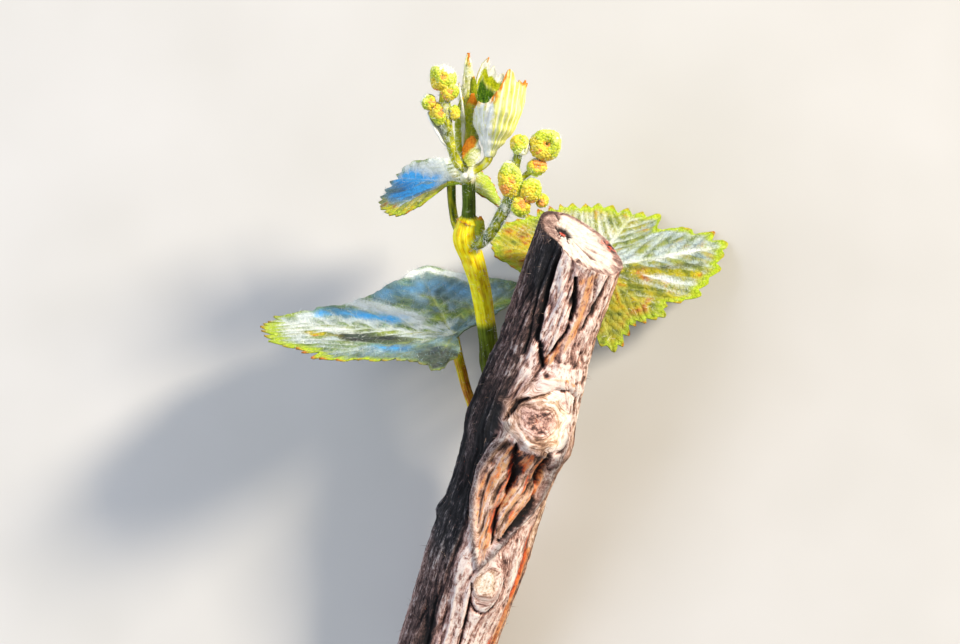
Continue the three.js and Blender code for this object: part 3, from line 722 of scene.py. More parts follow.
    grain = np.stack([line + 0.8 * sunk * (line - TONGUE_MIDDLE), height], -1)
    for near, away, turn, (knot, *_) in zip(domes, rings, turns, KNOTS):
        round_eye = np.stack([0.6 * away + knot[1] * ARC, 3 * np.abs(turn) + knot[0]], -1)
        grain = grain + near[..., None] * (round_eye - grain)
    frayed = np.clip(ragged * 0.8 + 0.35 * fade(ribbon - 0.4, 0.25) + 0.01, 0, 1)
    return relief, masks, grain, frayed


PITH = np.array([26.9, 0.1, 98.48])
CUT_NORMAL = np.array([CUT_FALL_RIGHT, -CUT_RISE_BACK, 1.0])
CUT_NORMAL /= np.linalg.norm(CUT_NORMAL)
CUT_LIP = 0.9
RING_WIDTH = 2.1
# A stained blotch on the cut
BLOTCH = np.array([36.3, 5.6, 94.3])
# The cut is grey with weather to the left of this place, in standing millimetres
WEATHERED_SIDE = 26.3
FOOT_PITH = np.array([-0.8, 0.6, 0.0])
FOOT_NORMAL = np.array([-math.sin(LEAN), 0, -math.cos(LEAN)])


def cut_face(rim, pith, normal, rings, seed, lip=0.0):
    """Rows of points from a rim in to the pith, with the masks of the cut wood. A lip tops the rim."""
    shares = np.linspace(1, 0, rings + 1)[1:-1] ** 0.9
    rows = pith + (rim[None] - pith) * shares[:, None, None] + lip * ease(shares, 0.86, 1)[:, None, None]
    distance = np.linalg.norm(rows - pith, axis=-1)
    turn = np.broadcast_to(2 * np.pi * np.arange(rim.shape[0]) / rim.shape[0], distance.shape)
    rays = layered(ring_cells(turn, 14, distance / 9), 2, seed)
    grit = layered(rows / 0.7, 2, seed + 5)
    edge = ease(shares[:, None] + 0.05 * rays, 0.8, 0.93)
    check = ease(layered(ring_cells(turn, 2.6, distance / 7), 3, seed + 9), 0.5, 0.75)
    check = check * ease(distance, 1.6, 3) * (1 - edge)
    blotch = fade(np.linalg.norm(rows - BLOTCH, axis=-1), 2.2)
    hollow = 1 - ease(distance + 0.5 * rays, 1.5, 2.4)
    growth = np.sin(2 * np.pi * distance / RING_WIDTH)
    depth = 0.1 * rays + 0.06 * grit - 0.5 * check - 0.6 * hollow + edge * (0.35 * rays - 0.15)
    depth *= ease(1 - shares[:, None], 0.0, 0.05)
    weathered = ease(WEATHERED_SIDE - rows[..., 0] + 0.9 * grit, -0.4, 1.2)
    tone = 0.7 + 0.13 * rays + 0.1 * grit + 0.05 * growth - 0.35 * check - 0.42 * weathered
    tone -= 0.4 * edge * (1 + 0.8 * rays)
    masks = {
        "tone": np.clip(tone, 0, 1),
        "soot": np.clip(hollow * ease(distance + 0.3 * grit, 0.5, 0.9) * 1.3 + 0.4 * check
                        + 1.6 * blotch * ease(grit, 0.0, 0.25), 0, 1),
        "rust": np.clip(hollow * (1 - ease(distance, 0.6, 1.1)) * (1.1 + 0.4 * grit)
                        + blotch * ease(-grit, -0.2, 0.3), 0, 1),
    }
    return rows + normal * depth[..., None], masks


def old_wood_piece(settings):
    """The stub with its bark and both cuts, and the torn threads on its frayed edges."""
    columns, levels, top_rings, foot_rings = 256, 296, 46, 18
    angle = np.linspace(-270, 90, columns, endpoint=False)
    turn = np.radians(angle)
    share = np.linspace(0, 1, levels + 1)[:, None]
    height = cut_height(turn)[None] * share
    relief, masks, grain, frayed = bark_relief(height, np.broadcast_to(angle, height.shape))
    held_in = np.minimum(ease(share, 0, 0.012), 1 - 0.7 * ease(share, 0.985, 1))
    radius = wood_radius(height, np.broadcast_to(turn, height.shape))
    side = wood_point(height, turn, radius + np.minimum(relief * settings.relief, 0.5) * held_in)
    lip = fade(angle + 128, 20)[:, None] * CUT_LIP * CUT_NORMAL
    side = side + lip * ease(share, 0.96, 1)[..., None]
    top, top_masks = cut_face(side[-1] - lip, PITH, CUT_NORMAL, top_rings, 71, lip)
    foot, foot_masks = cut_face(side[0], FOOT_PITH, FOOT_NORMAL, foot_rings, 83)
    rows = np.concatenate([foot[::-1], side, top])
    points = np.concatenate([rows.reshape(-1, 3), [FOOT_PITH - 0.6 * FOOT_NORMAL, PITH - 0.6 * CUT_NORMAL]])
    faces = grid_faces(len(rows), columns, True).tolist()
    faces += end_fans(len(points) - 2, len(points) - 1, (len(rows) - 1) * columns, columns)
    kinds = np.repeat([1, 0, 1], [(foot_rings - 1) * columns, levels * columns, (top_rings + 1) * columns])
    every = {}
    for mask, values in masks.items():
        foot_part = foot_masks.get(mask, np.zeros(foot.shape[:2]))[::-1]
        top_part = top_masks.get(mask, np.zeros(top.shape[:2]))
        every[mask] = np.concatenate([foot_part.ravel(), values.ravel(), top_part.ravel(), [0.3, 0.3]])
    flat = np.zeros((len(points), 2))
    first_side = foot[..., 0].size
    flat[first_side:first_side + height.size] = grain.reshape(-1, 2)
    finishes = [finish_of("weathered vine bark", vine_bark), finish_of("cut vine wood", cut_vine_wood)]
    bark = new_piece("old_wood_bark", points, faces, finishes, ["old_wood"], every, flat, kinds)
    grow = np.zeros(len(points))
    near_cut = np.maximum(frayed, np.broadcast_to(ease(share, 0.985, 0.995), frayed.shape))
    grow[first_side:first_side + height.size] = near_cut.ravel()
    down_on(bark, "old_wood_threads", grow, 0.25 * settings.threads, 1.45, 0.5, 1.8, 87,
            "torn bark thread")


# Thin sheets and hairs
def sheet(rows, thickness, lift, centre=None):
    """Points and faces of a thin closed sheet from its middle surface, given as rows of points.
    With a centre, its rows close on themselves round that point; without, it has four free edges."""
    wraps = centre is not None
    count, width = rows.shape[:2]
    outward = np.gradient(rows, axis=0)
    onward = (np.roll(rows, -1, 1) - np.roll(rows, 1, 1)) / 2 if wraps else np.gradient(rows, axis=1)
    normal = np.cross(outward, onward)
    normal /= np.linalg.norm(normal, axis=-1)[..., None] + 1e-12
    rows = rows + normal * lift[..., None]
    sides = []
    for half in (thickness / 2, -thickness / 2):
        side = (rows + normal * half).reshape(-1, 3)
        if wraps:
            side = np.concatenate([side, [centre + normal[0].mean(0) * half]])
        sides.append(side)
    under = len(sides[0])
    faces = grid_faces(count, width, wraps)[:, ::-1].tolist()
    faces += grid_faces(count, width, wraps, under).tolist()

    def wall(start, end):
        faces.append((start, under + start, under + end, end))

    outer = (count - 1) * width
    for column in range(width if wraps else width - 1):
        following = (column + 1) % width
        wall(outer + column, outer + following)
        if wraps:
            faces.append((under - 1, column, following))
            faces.append((2 * under - 1, under + following, under + column))
        else:
            wall(following, column)
    if not wraps:
        for row in range(count - 1):
            wall(row * width, (row + 1) * width)
            wall((row + 2) * width - 1, (row + 1) * width - 1)
    return np.concatenate(sides), faces


def both_sides(values, wraps):
    """A mask of a sheet's middle surface for all the points of the sheet."""
    values = np.asarray(values, float)
    one = np.concatenate([values.ravel(), [values[0].mean()]]) if wraps else values.ravel()
    return np.concatenate([one, one])


def under_side(points):
    """A mask that is 1 on the lower face of a sheet."""
    return np.repeat([0.0, 1.0], len(points) // 2)


# Half width of a pointed scale by its share of the length
HALF_WIDTHS = [(0, 0.35), (0.3, 0.95), (0.55, 1), (0.8, 0.7), (1, 0.2)]


def scale_rows(foot, tip, inner, width, hollow, steps, columns):
    """Rows of a pointed scale from its foot to its tip, hollowed towards its inner face."""
    foot, tip, inner = (np.array(value, float) for value in (foot, tip, inner))
    along = tip - foot
    face = inner - along * (inner @ along) / (along @ along)
    face /= np.linalg.norm(face)
    side = np.cross(along, face)
    side /= np.linalg.norm(side)
    share = np.linspace(0, 1, steps)[:, None]
    across = np.linspace(-1, 1, columns)[None, :]
    half = width / 2 * between(HALF_WIDTHS, share)
    bend = hollow * across ** 2 * np.sin(np.pi * share)
    return foot + along * share[..., None] + side * (half * across)[..., None] + face * bend[..., None]


# Square millimetres in a square metre
MM2_IN_M2 = 1e6


def scatter_tree(name, spaced):
    """A node tree that grows copies of an item over a surface where its mask says, leaning at random."""
    tree = bpy.data.node_groups.new(name, "GeometryNodeTree")
    sockets = tree.interface
    sockets.new_socket("Surface", in_out="INPUT", socket_type="NodeSocketGeometry")
    sockets.new_socket("Item", in_out="INPUT", socket_type="NodeSocketObject")
    sockets.new_socket("Material", in_out="INPUT", socket_type="NodeSocketMaterial")
    for label in ("Per square millimetre", "Spacing", "Lean", "Smallest", "Largest"):
        sockets.new_socket(label, in_out="INPUT", socket_type="NodeSocketFloat")
    sockets.new_socket("Seed", in_out="INPUT", socket_type="NodeSocketInt")
    sockets.new_socket("Grown", in_out="OUTPUT", socket_type="NodeSocketGeometry")
    add = functools.partial(add_node, tree, "")
    given = add("NodeGroupInput").outputs
    mask = add("GeometryNodeInputNamedAttribute", {"Name": "grow"}, data_type="FLOAT")
    density = add("ShaderNodeMath", {0: given["Per square millimetre"], 1: MM2_IN_M2}, operation="MULTIPLY")
    if spaced:
        points = add("GeometryNodeDistributePointsOnFaces", {
            "Mesh": given["Surface"], "Distance Min": given["Spacing"], "Density Max": density,
            "Density Factor": mask, "Seed": given["Seed"]}, distribute_method="POISSON")
    else:
        masked = add("ShaderNodeMath", {0: density, 1: mask}, operation="MULTIPLY")
        points = add("GeometryNodeDistributePointsOnFaces", {
            "Mesh": given["Surface"], "Density": masked, "Seed": given["Seed"]}, distribute_method="RANDOM")
    turn_seed = add("ShaderNodeMath", {0: given["Seed"], 1: 7.0}, operation="ADD")
    lean_back = add("ShaderNodeMath", {0: given["Lean"], 1: -1.0}, operation="MULTIPLY")
    low = add("ShaderNodeCombineXYZ", {"X": lean_back, "Y": lean_back, "Z": 0.0})
    high = add("ShaderNodeCombineXYZ", {"X": given["Lean"], "Y": given["Lean"], "Z": 2 * math.pi})
    tilt = add("FunctionNodeRandomValue", {0: low, 1: high, "Seed": turn_seed}, data_type="FLOAT_VECTOR")
    size = add("FunctionNodeRandomValue", {
        2: given["Smallest"], 3: given["Largest"], "Seed": given["Seed"]}, data_type="FLOAT")
    leaning = add("FunctionNodeRotateRotation", {
        "Rotation": points.outputs["Rotation"], "Rotate By": tilt}, rotation_space="LOCAL")
    item = add("GeometryNodeObjectInfo", {"Object": given["Item"]})
    copies = add("GeometryNodeInstanceOnPoints", {
        "Points": points, "Instance": item.outputs["Geometry"], "Rotation": leaning, "Scale": size})
    real = add("GeometryNodeRealizeInstances", {"Geometry": copies})
    dressed = add("GeometryNodeSetMaterial", {"Geometry": real, "Material": given["Material"]})
    add("NodeGroupOutput", {"Grown": dressed})
    return tree


def scattered(piece, grow, item, spaced, values):
    """The plain mesh of what grows on a piece, as dense as its grow mask says. Lengths are in metres."""
    surface = piece.data.copy()
    mask = surface.attributes.new("grow", "FLOAT", "POINT")
    mask.data.foreach_set("value", np.asarray(grow, np.float32))
    carrier = placed("carrier", surface)
    name = "grow spaced out" if spaced else "grow freely"
    tree = bpy.data.node_groups.get(name) or scatter_tree(name, spaced)
    modifier = carrier.modifiers.new("scatter", "NODES")
    modifier.node_group = tree
    inputs = {socket.name: socket.identifier for socket in tree.interface.items_tree
              if socket.in_out == "INPUT"}
    for socket, value in {"Item": item, **values}.items():
        modifier[inputs[socket]] = value
    bpy.context.view_layer.update()
    graph = bpy.context.evaluated_depsgraph_get()
    mesh = bpy.data.meshes.new_from_object(carrier.evaluated_get(graph), depsgraph=graph)
    bpy.data.objects.remove(carrier)
    bpy.data.meshes.remove(surface)
    if "grow" in mesh.attributes:
        mesh.attributes.remove(mesh.attributes["grow"])
    return mesh


def small_item(name, points, faces, smooth):
    """A small thing in millimetres that is only shown where copies of it grow."""
    mesh = bpy.data.meshes.new(name)
    mesh.from_pydata((np.array(points) * MM).tolist(), [], faces)
    mesh.polygons.foreach_set("use_smooth", np.full(len(faces), smooth))
    item = placed(name, mesh)
    item.hide_render = True
    return item


HAIR_RADIUS = 0.03
HAIR_FOOT = -0.05
HAIR_TIP = (0.3, 0.0, 0.95)


def hair_item():
    """One hair, a millimetre long: a thin three-sided spike that bends over."""
    corners = [2 * math.pi * side / 3 for side in range(3)]
    ring = [(HAIR_RADIUS * math.cos(turn), HAIR_RADIUS * math.sin(turn), HAIR_FOOT) for turn in corners]
    return small_item("hair_item", [*ring, HAIR_TIP], [(0, 2, 1), (0, 1, 3), (1, 2, 3), (2, 0, 3)], False)


def down_on(piece, name, grow, per_mm2, lean, smallest, largest, seed, finish="white vine down"):
    """A coat of hairs on a piece, as dense as its grow mask says."""
    item = bpy.data.objects.get("hair_item") or hair_item()
    mesh = scattered(piece, grow, item, False, {
        "Material": mottled_finish(finish), "Per square millimetre": per_mm2, "Lean": lean,
        "Smallest": smallest, "Largest": largest, "Seed": seed,
    })
    mesh.name = name
    return finished(name, mesh)


# Leaves. Each has lobes and the notches between them as (angle from the midrib, reach), the folds that
# lift or drop its two halves, and the angles of its main veins. Wool, blush, painted shade and rim are
# strengths by angle, and toothed is how deep its teeth are; painted shade makes the green and the down
# blue-grey as if in shade. Marks are strokes, as (mask, strength, half width in millimetres, line of (angle,
# distance)). A green stroke takes off the down, a sky stroke paints blue shade that the sky lights, and a
# dark stroke paints shadow.
LEAF_THICKNESS = 0.32
TOOTH_DEPTH = 0.085
RIPPLES = 5
LOW_LEFT_LEAF = {
    "name": "leaf_low_left", "junction": (3.6, 13.0, 72.8), "midrib": (-0.94, 0.34, 0), "face": (0, 0, 1),
    "outline": [
        (-126, 3), (-110, 20), (-100, 29), (-86, 29.5), (-74, 31), (-59, 35.7), (-46, 31), (-34, 29.5),
        (-22, 30.5), (-12, 36), (-1, 43.5), (9, 42.5), (28, 40.5), (42, 35.5), (57, 34.8), (71, 29.5),
        (90, 26.5), (98, 28), (105, 32.8), (109, 22), (126, 3),
    ],
    "teeth": 46, "folds": (2, 12), "curls": (0, 0), "droop": 0.6, "ripple": 0.6,
    "veins": (2, -57, 52, -101, 102), "spread": 50, "pucker": 0.42, "seed": 3,
    "wool": [(-126, 0.8), (-60, 0.9), (-16, 0.9), (0, 1.2), (22, 1.0), (60, 0.8), (90, 0.5), (126, 0.4)],
    "blush": [(-126, 0.1), (-20, 0.05), (20, 0.25), (60, 0.1), (126, 0.05)],
    "cool": [(-126, 1.0), (-60, 1.0), (-20, 0.9), (-6, 0.3), (14, 0.1), (40, 0.5), (80, 1.0), (126, 1.0)],
    "rim": [(-126, 0.1), (-14, 0.1), (2, 0.8), (10, 1.6), (44, 1.6), (70, 1.2), (84, 0.5), (126, 0.4)],
    "toothed": [(-126, 0.4), (-110, 0.1), (-14, 0.1), (4, 1), (126, 1)],
    "marks": [
        ("wool", 1.6, 2.8, [(-23, 30), (-25, 21.5), (-29, 13.5), (-38, 5)]),
        ("wool", 1.6, 1.8, [(-50, 33), (-60, 33.5), (-72, 30), (-86, 27)]),
        ("wool", 1.6, 1.5, [(-40, 1.5), (20, 1.5)]),
        ("sky", 1.0, 2.2, [(-11, 33), (-13, 29), (-14, 22), (-17, 16)]),
        ("sky", 0.45, 3.2, [(-38, 27), (-48, 26), (-62, 25), (-76, 22)]),
        ("sky", 1.0, 3.0, [(56, 18), (70, 17), (88, 15)]),
        ("dark", 0.95, 3.2, [(27, 23), (34, 17.5), (50, 12)]),
        ("green", 0.95, 2.2, [(-40, 8), (-62, 10), (-80, 10), (-98, 14), (-110, 18)]),
        ("green", 0.7, 1.2, [(-62, 12), (-60, 17), (-52, 21)]),
        ("dark", 0.95, 5.0, [(94, 15), (100, 20), (107, 27)]),
        ("blush", 1.6, 1.4, [(21, 31), (24, 27), (28, 23)]),
    ],
}
LOW_RIGHT_LEAF = {
    "name": "leaf_low_right", "junction": (33.5, 17.0, 86.7), "midrib": (1, 0.25, -0.05),
    "face": (-0.01, -0.4, 0.92),
    "outline": [
        (-134, 2.5), (-101, 8), (-93, 19), (-84, 20.5), (-63, 16.5), (-50, 17.8), (-41, 19.2), (-32, 18.3),
        (-14, 25), (3, 30.3), (12, 34), (20, 33), (30, 28), (36, 22.8), (42, 28), (52, 26),
        (66, 24.5), (84, 22.5), (106, 22.4), (124, 22), (140, 23.6), (152, 23), (166, 22), (181, 17),
        (197, 4),
    ],
    "teeth": 44, "folds": (2, -24), "curls": (0, 0), "droop": 0, "ripple": 0.6,
    "veins": (12, -41, -86, 54, 104, 156), "spread": 40, "pucker": 0.6, "seed": 17,
    "wool": [(-134, 0.0), (-66, 0.0), (-44, 0.2), (-24, 0.6), (0, 1.1), (30, 1.2), (60, 0.5), (110, 0.4),
             (150, 0.05), (197, 0.0)],
    "blush": [(-134, 1.3), (-50, 1.3), (-20, 0.9), (20, 0.4), (60, 0.7), (100, 0.9), (150, 1.3), (197, 1.3)],
    "cool": [(-134, 0), (-30, 0.1), (0, 0.5), (30, 0.5), (60, 0), (197, 0)],
    "rim": [(-134, 0.8), (-60, 1), (40, 1), (120, 1), (140, 0.7), (197, 0.7)],
    "toothed": [(-134, 1.3), (-60, 1), (110, 1), (128, 0.35), (197, 0.35)],
    "marks": [
        ("wool", 1.0, 1.0, [(10, 2), (9, 14), (12, 29)]),
        ("wool", 0.6, 0.6, [(-16, 3), (-27, 10), (-38, 14)]),
        ("wool", 0.6, 0.6, [(2, 4), (-8, 14), (-12, 18)]),
        ("dark", 0.6, 0.6, [(0, 5), (-1, 14), (2, 25)]),
        ("blush", 1.3, 0.9, [(-8, 6), (-4, 14), (-4, 24)]),
        ("blush", 1.3, 1.3, [(-38, 5), (-24, 13), (-24, 21)]),
        ("dark", 0.5, 1.0, [(-84, 6), (-88, 13), (-92, 18)]),
        ("dark", 0.24, 9.0, [(-45, 12), (-75, 14), (-95, 14)]),
    ],
}
MID_LEFT_LEAF = {
    "name": "leaf_mid_left", "junction": (3.2, 15.5, 106.1), "midrib": (-0.15, 1, 0.2), "face": (0, -0.2, 1),
    "outline": [
        (-134, 2.2), (-112, 12), (-88, 14), (-66, 16), (-43, 18), (-20, 13.5), (-4, 12.7), (10, 14.6),
        (23, 18.7), (41, 18.8), (60, 18.3), (78, 16.9), (92, 15.8), (108, 14.3), (118, 10), (134, 2.2),
    ],
    "teeth": 34, "folds": (-22, -5), "curls": (-0.4, -4), "droop": 0, "ripple": 0.4,
    "veins": (2, -45, 38, -92, 88), "spread": 48, "pucker": 0.3, "seed": 29,
    "wool": [(-134, 0.5), (-30, 0.5), (10, 1.2), (60, 1.9), (84, 1.6), (98, 0.1), (134, 0.1)],
    "blush": [(-134, 0.9), (-20, 0.9), (10, 0.2), (84, 0.0), (98, 1.2), (134, 1.2)],
    "cool": [(-134, 0), (20, 0), (40, 0.2), (54, 1.1), (84, 1.1), (98, 0.0), (134, 0.0)],
    "rim": [(-134, 3), (-30, 3), (0, 0.2), (70, 0.1), (95, 0.8), (134, 0.8)],
    "toothed": [(-134, 0.8), (134, 0.8)],
    "marks": [
        ("wool", 1.6, 3.4, [(10, 12), (28, 12), (34, 5)]),
        ("sky", 1.6, 2.8, [(42, 14), (50, 10), (60, 6)]),
        ("sky", 1.6, 2.6, [(60, 13), (72, 8)]),
        ("blush", 1.4, 1.5, [(66, 17), (80, 15.5), (96, 14)]),
    ],
}
LEAVES = (LOW_LEFT_LEAF, LOW_RIGHT_LEAF, MID_LEFT_LEAF)


def unit(vector):
    """A vector's direction, one long."""
    vector = np.array(vector, float)
    return vector / np.linalg.norm(vector)


def leaf_place(leaf, angle, distance):
    """Standing points of a leaf by their angle from the midrib and their distance from the stalk's end."""
    along = unit(leaf["midrib"])
    face = np.array(leaf["face"], float)
    up = unit(face - along * (face @ along))
    across = np.cross(up, along)
    length = max(reach for _, reach in leaf["outline"])
    side = np.sign(np.sin(angle))
    out = distance * np.abs(np.sin(angle))
    fold = np.radians(np.where(side >= 0, *leaf["folds"]))
    curl = np.radians(np.where(side >= 0, *leaf["curls"]))
    curl = np.where(curl == 0, 1e-6, curl)
    share = distance / length
    lift = leaf["ripple"] * share * np.sin(RIPPLES * angle) - leaf["droop"] * share ** 3
    sideways = side * (np.sin(fold + curl * out) - np.sin(fold)) / curl
    upward = (np.cos(fold) - np.cos(fold + curl * out)) / curl + lift
    return (np.array(leaf["junction"]) + (distance * np.cos(angle))[..., None] * along
            + sideways[..., None] * across + upward[..., None] * up)


# Half widths of the first vein of a leaf, of its other main veins and of the side veins, in millimetres
FIRST_VEIN, MAIN_VEIN, SIDE_VEIN = 0.42, 0.34, 0.2
# A side vein is drawn in steps of this length, and turns this far towards the leaf's rim at each
VEIN_STEP = 0.9
VEIN_BEND = math.radians(1.1)
VEIN_STEPS = 40


def vein_lines(leaf):
    """The main veins and their side veins on the flat leaf, as (line, half width at its start)."""
    angles = sorted(leaf["veins"])
    lines = []
    for number, angle in enumerate(angles):
        reach = float(between(leaf["outline"], angle))
        direction = math.radians(angle)
        ahead = np.array([math.cos(direction), math.sin(direction)])
        half = FIRST_VEIN if angle == leaf["veins"][0] else MAIN_VEIN
        lines.append(([ahead * 0.2, ahead * reach * 0.98], half))
        borders = [-200 if number == 0 else (angles[number - 1] + angle) / 2,
                   220 if number == len(angles) - 1 else (angles[number + 1] + angle) / 2]
        for side in (-1, 1):
            start = 0.14 * reach + 1.2 + 1.1 * (side > 0)
            while start < reach * 0.9:
                point = ahead * start
                heading = direction + side * math.radians(leaf["spread"])
                line = [point]
                for _ in range(VEIN_STEPS):
                    point = point + VEIN_STEP * np.array([math.cos(heading), math.sin(heading)])
                    heading -= side * VEIN_BEND
                    at = math.degrees(math.atan2(point[1], point[0]))
                    at += 360 if at < leaf["outline"][0][0] else 0
                    if (math.hypot(*point) > 0.96 * between(leaf["outline"], at)
                            or not borders[0] < at < borders[1]):
                        break
                    line.append(point)
                if len(line) > 1:
                    lines.append((line[::3] + line[-1:], SIDE_VEIN))
                start += 0.105 * reach + 0.6
    return lines


def leaf_blade(leaf, depth):
    """The sheet of a leaf, with its masks and its flat map."""
    first, last = leaf["outline"][0][0], leaf["outline"][-1][0]
    columns = leaf["teeth"] * 8
    part = np.arange(columns + 1) / columns
    angle = first + (last - first) * part
    tooth = part * leaf["teeth"]
    chance = noise(cells(tooth / 1.3), leaf["seed"])
    point = 1 - np.abs(2 * ((tooth + 0.12 * chance) % 1) - 1)
    notch = TOOTH_DEPTH * between(leaf["toothed"], angle) * (1 + 0.5 * chance) * (1 - point ** 0.85)
    shares = np.concatenate([np.linspace(0.035, 0.86, 52), np.linspace(0.875, 1, 16)])[:, None]
    distance = between(leaf["outline"], angle) * shares * (1 - notch * shares ** 7)
    turn = np.broadcast_to(np.radians(angle), distance.shape)
    flat = np.stack([distance * np.cos(turn), distance * np.sin(turn)], -1)

    vein, rib = np.zeros(distance.shape), np.full(distance.shape, 99.0)
    for line, half in vein_lines(leaf):
        away, along, _ = near_path(flat, line)
        strength = 0.75 if half == SIDE_VEIN else 1
        vein = np.maximum(vein, strength * fade(away, half * (1 - 0.6 * along) + 0.06))
        rib = np.minimum(rib, away)
    wide = np.concatenate([flat / 3.2, distance[..., None] * 0], -1)
    rumple = layered(wide, 3, leaf["seed"] + 1)
    crisp = layered(wide * 3.4, 2, leaf["seed"] + 2)
    pillow = 1 - fade(rib, 1.25)
    downy_rib = fade(rib, 0.55)
    settled = ease(distance, 0.5, 5)
    lift = depth * settled * (leaf["pucker"] * (pillow - 0.5) + 0.16 * rumple + 0.05 * crisp - 0.16 * vein)
    rows = leaf_place(leaf, turn, distance)
    points, faces = sheet(rows, LEAF_THICKNESS, lift, np.array(leaf["junction"]))

    strokes = {"wool": 0, "sky": 0, "dark": 0, "blush": 0, "green": 0}
    for mask, strength, half, line in leaf["marks"]:
        angles, reaches = np.radians([at for at, _ in line]), np.array([reach for _, reach in line])
        away = near_path(flat, np.stack([reaches * np.cos(angles), reaches * np.sin(angles)], -1))[0]
        stroke = strength * fade(away * (1 + 0.3 * rumple), half, 4 if mask == "dark" else 2.4)
        strokes[mask] = np.maximum(strokes[mask], stroke)
    edge = between(leaf["outline"], angle) * (1 - shares)
    rim = between(leaf["rim"], angle)
    margin = (1 - ease(edge / np.maximum(rim, 0.8), 0.8, 4.0)) * np.minimum(rim, 1)
    tip = (1 - ease(edge, 0.2, 1.2)) * ease(point, 0.5, 0.85) * (0.55 + 0.6 * chance) * rim
    streak = layered(ring_cells(turn, 9, distance / 7), 3, leaf["seed"] + 3)
    cover = between(leaf["wool"], angle)
    # Painted shade by angle: here the green and the felt are painted blue-grey as if in shade
    cool = np.clip(between(leaf["cool"], angle), 0, 1)
    wool = cover * (0.28 + 0.35 * cool + (1.0 - 0.9 * cool) * downy_rib + 0.6 * streak + 0.25 * rumple)
    wool = wool * (1 - 0.9 * margin) * (1.15 - 0.4 * shares)
    wool = np.clip(np.maximum(wool, strokes["wool"] * (0.75 + 0.4 * streak)) * (1 - strokes["dark"]), 0, 1)
    blush = between(leaf["blush"], angle) * (0.6 + 0.8 * ease(rumple + 0.25 * pillow, 0.0, 0.6))
    blush = np.clip(np.maximum(blush, strokes["blush"]), 0, 1)
    wool = wool * (1 - 0.8 * np.clip(strokes["blush"], 0, 1)) * (1 - 0.85 * strokes["green"])
    cool = np.clip(cool * (0.9 + 0.4 * rumple) * (1 - strokes["wool"]), 0, 1) * (1 - 0.9 * strokes["green"])
    # Sky strokes paint blue patches of shade that the sky lights
    sky = np.clip(strokes["sky"] * (1 - strokes["dark"]) * (0.9 + 0.5 * streak) * (1 - 0.5 * vein), 0, 1)
    lime = np.maximum(margin, 0.6 * strokes["green"] * ease(rumple, -0.3, 0.5))
    # Dark strokes paint shadow patches, without down
    one_side = {
        "sky": sky, "dark": strokes["dark"] * (0.9 + 0.4 * streak), "cool": cool, "vein": vein, "lime": lime,
        "tip": tip, "wool": wool, "blush": blush, "streak": 0.5 + 0.5 * streak + 0.4 * strokes["wool"],
    }
    masks = {name: both_sides(np.clip(values, 0, 1), True) for name, values in one_side.items()}
    masks["under"] = under_side(points)
    return points, faces, masks, both_sides_flat(flat)


def both_sides_flat(flat):
    """The flat map of a blade for all the points of its sheet, with its middle at the stalk's end."""
    one = np.concatenate([flat.reshape(-1, 2), [[0, 0]]])
    return np.concatenate([one, one])


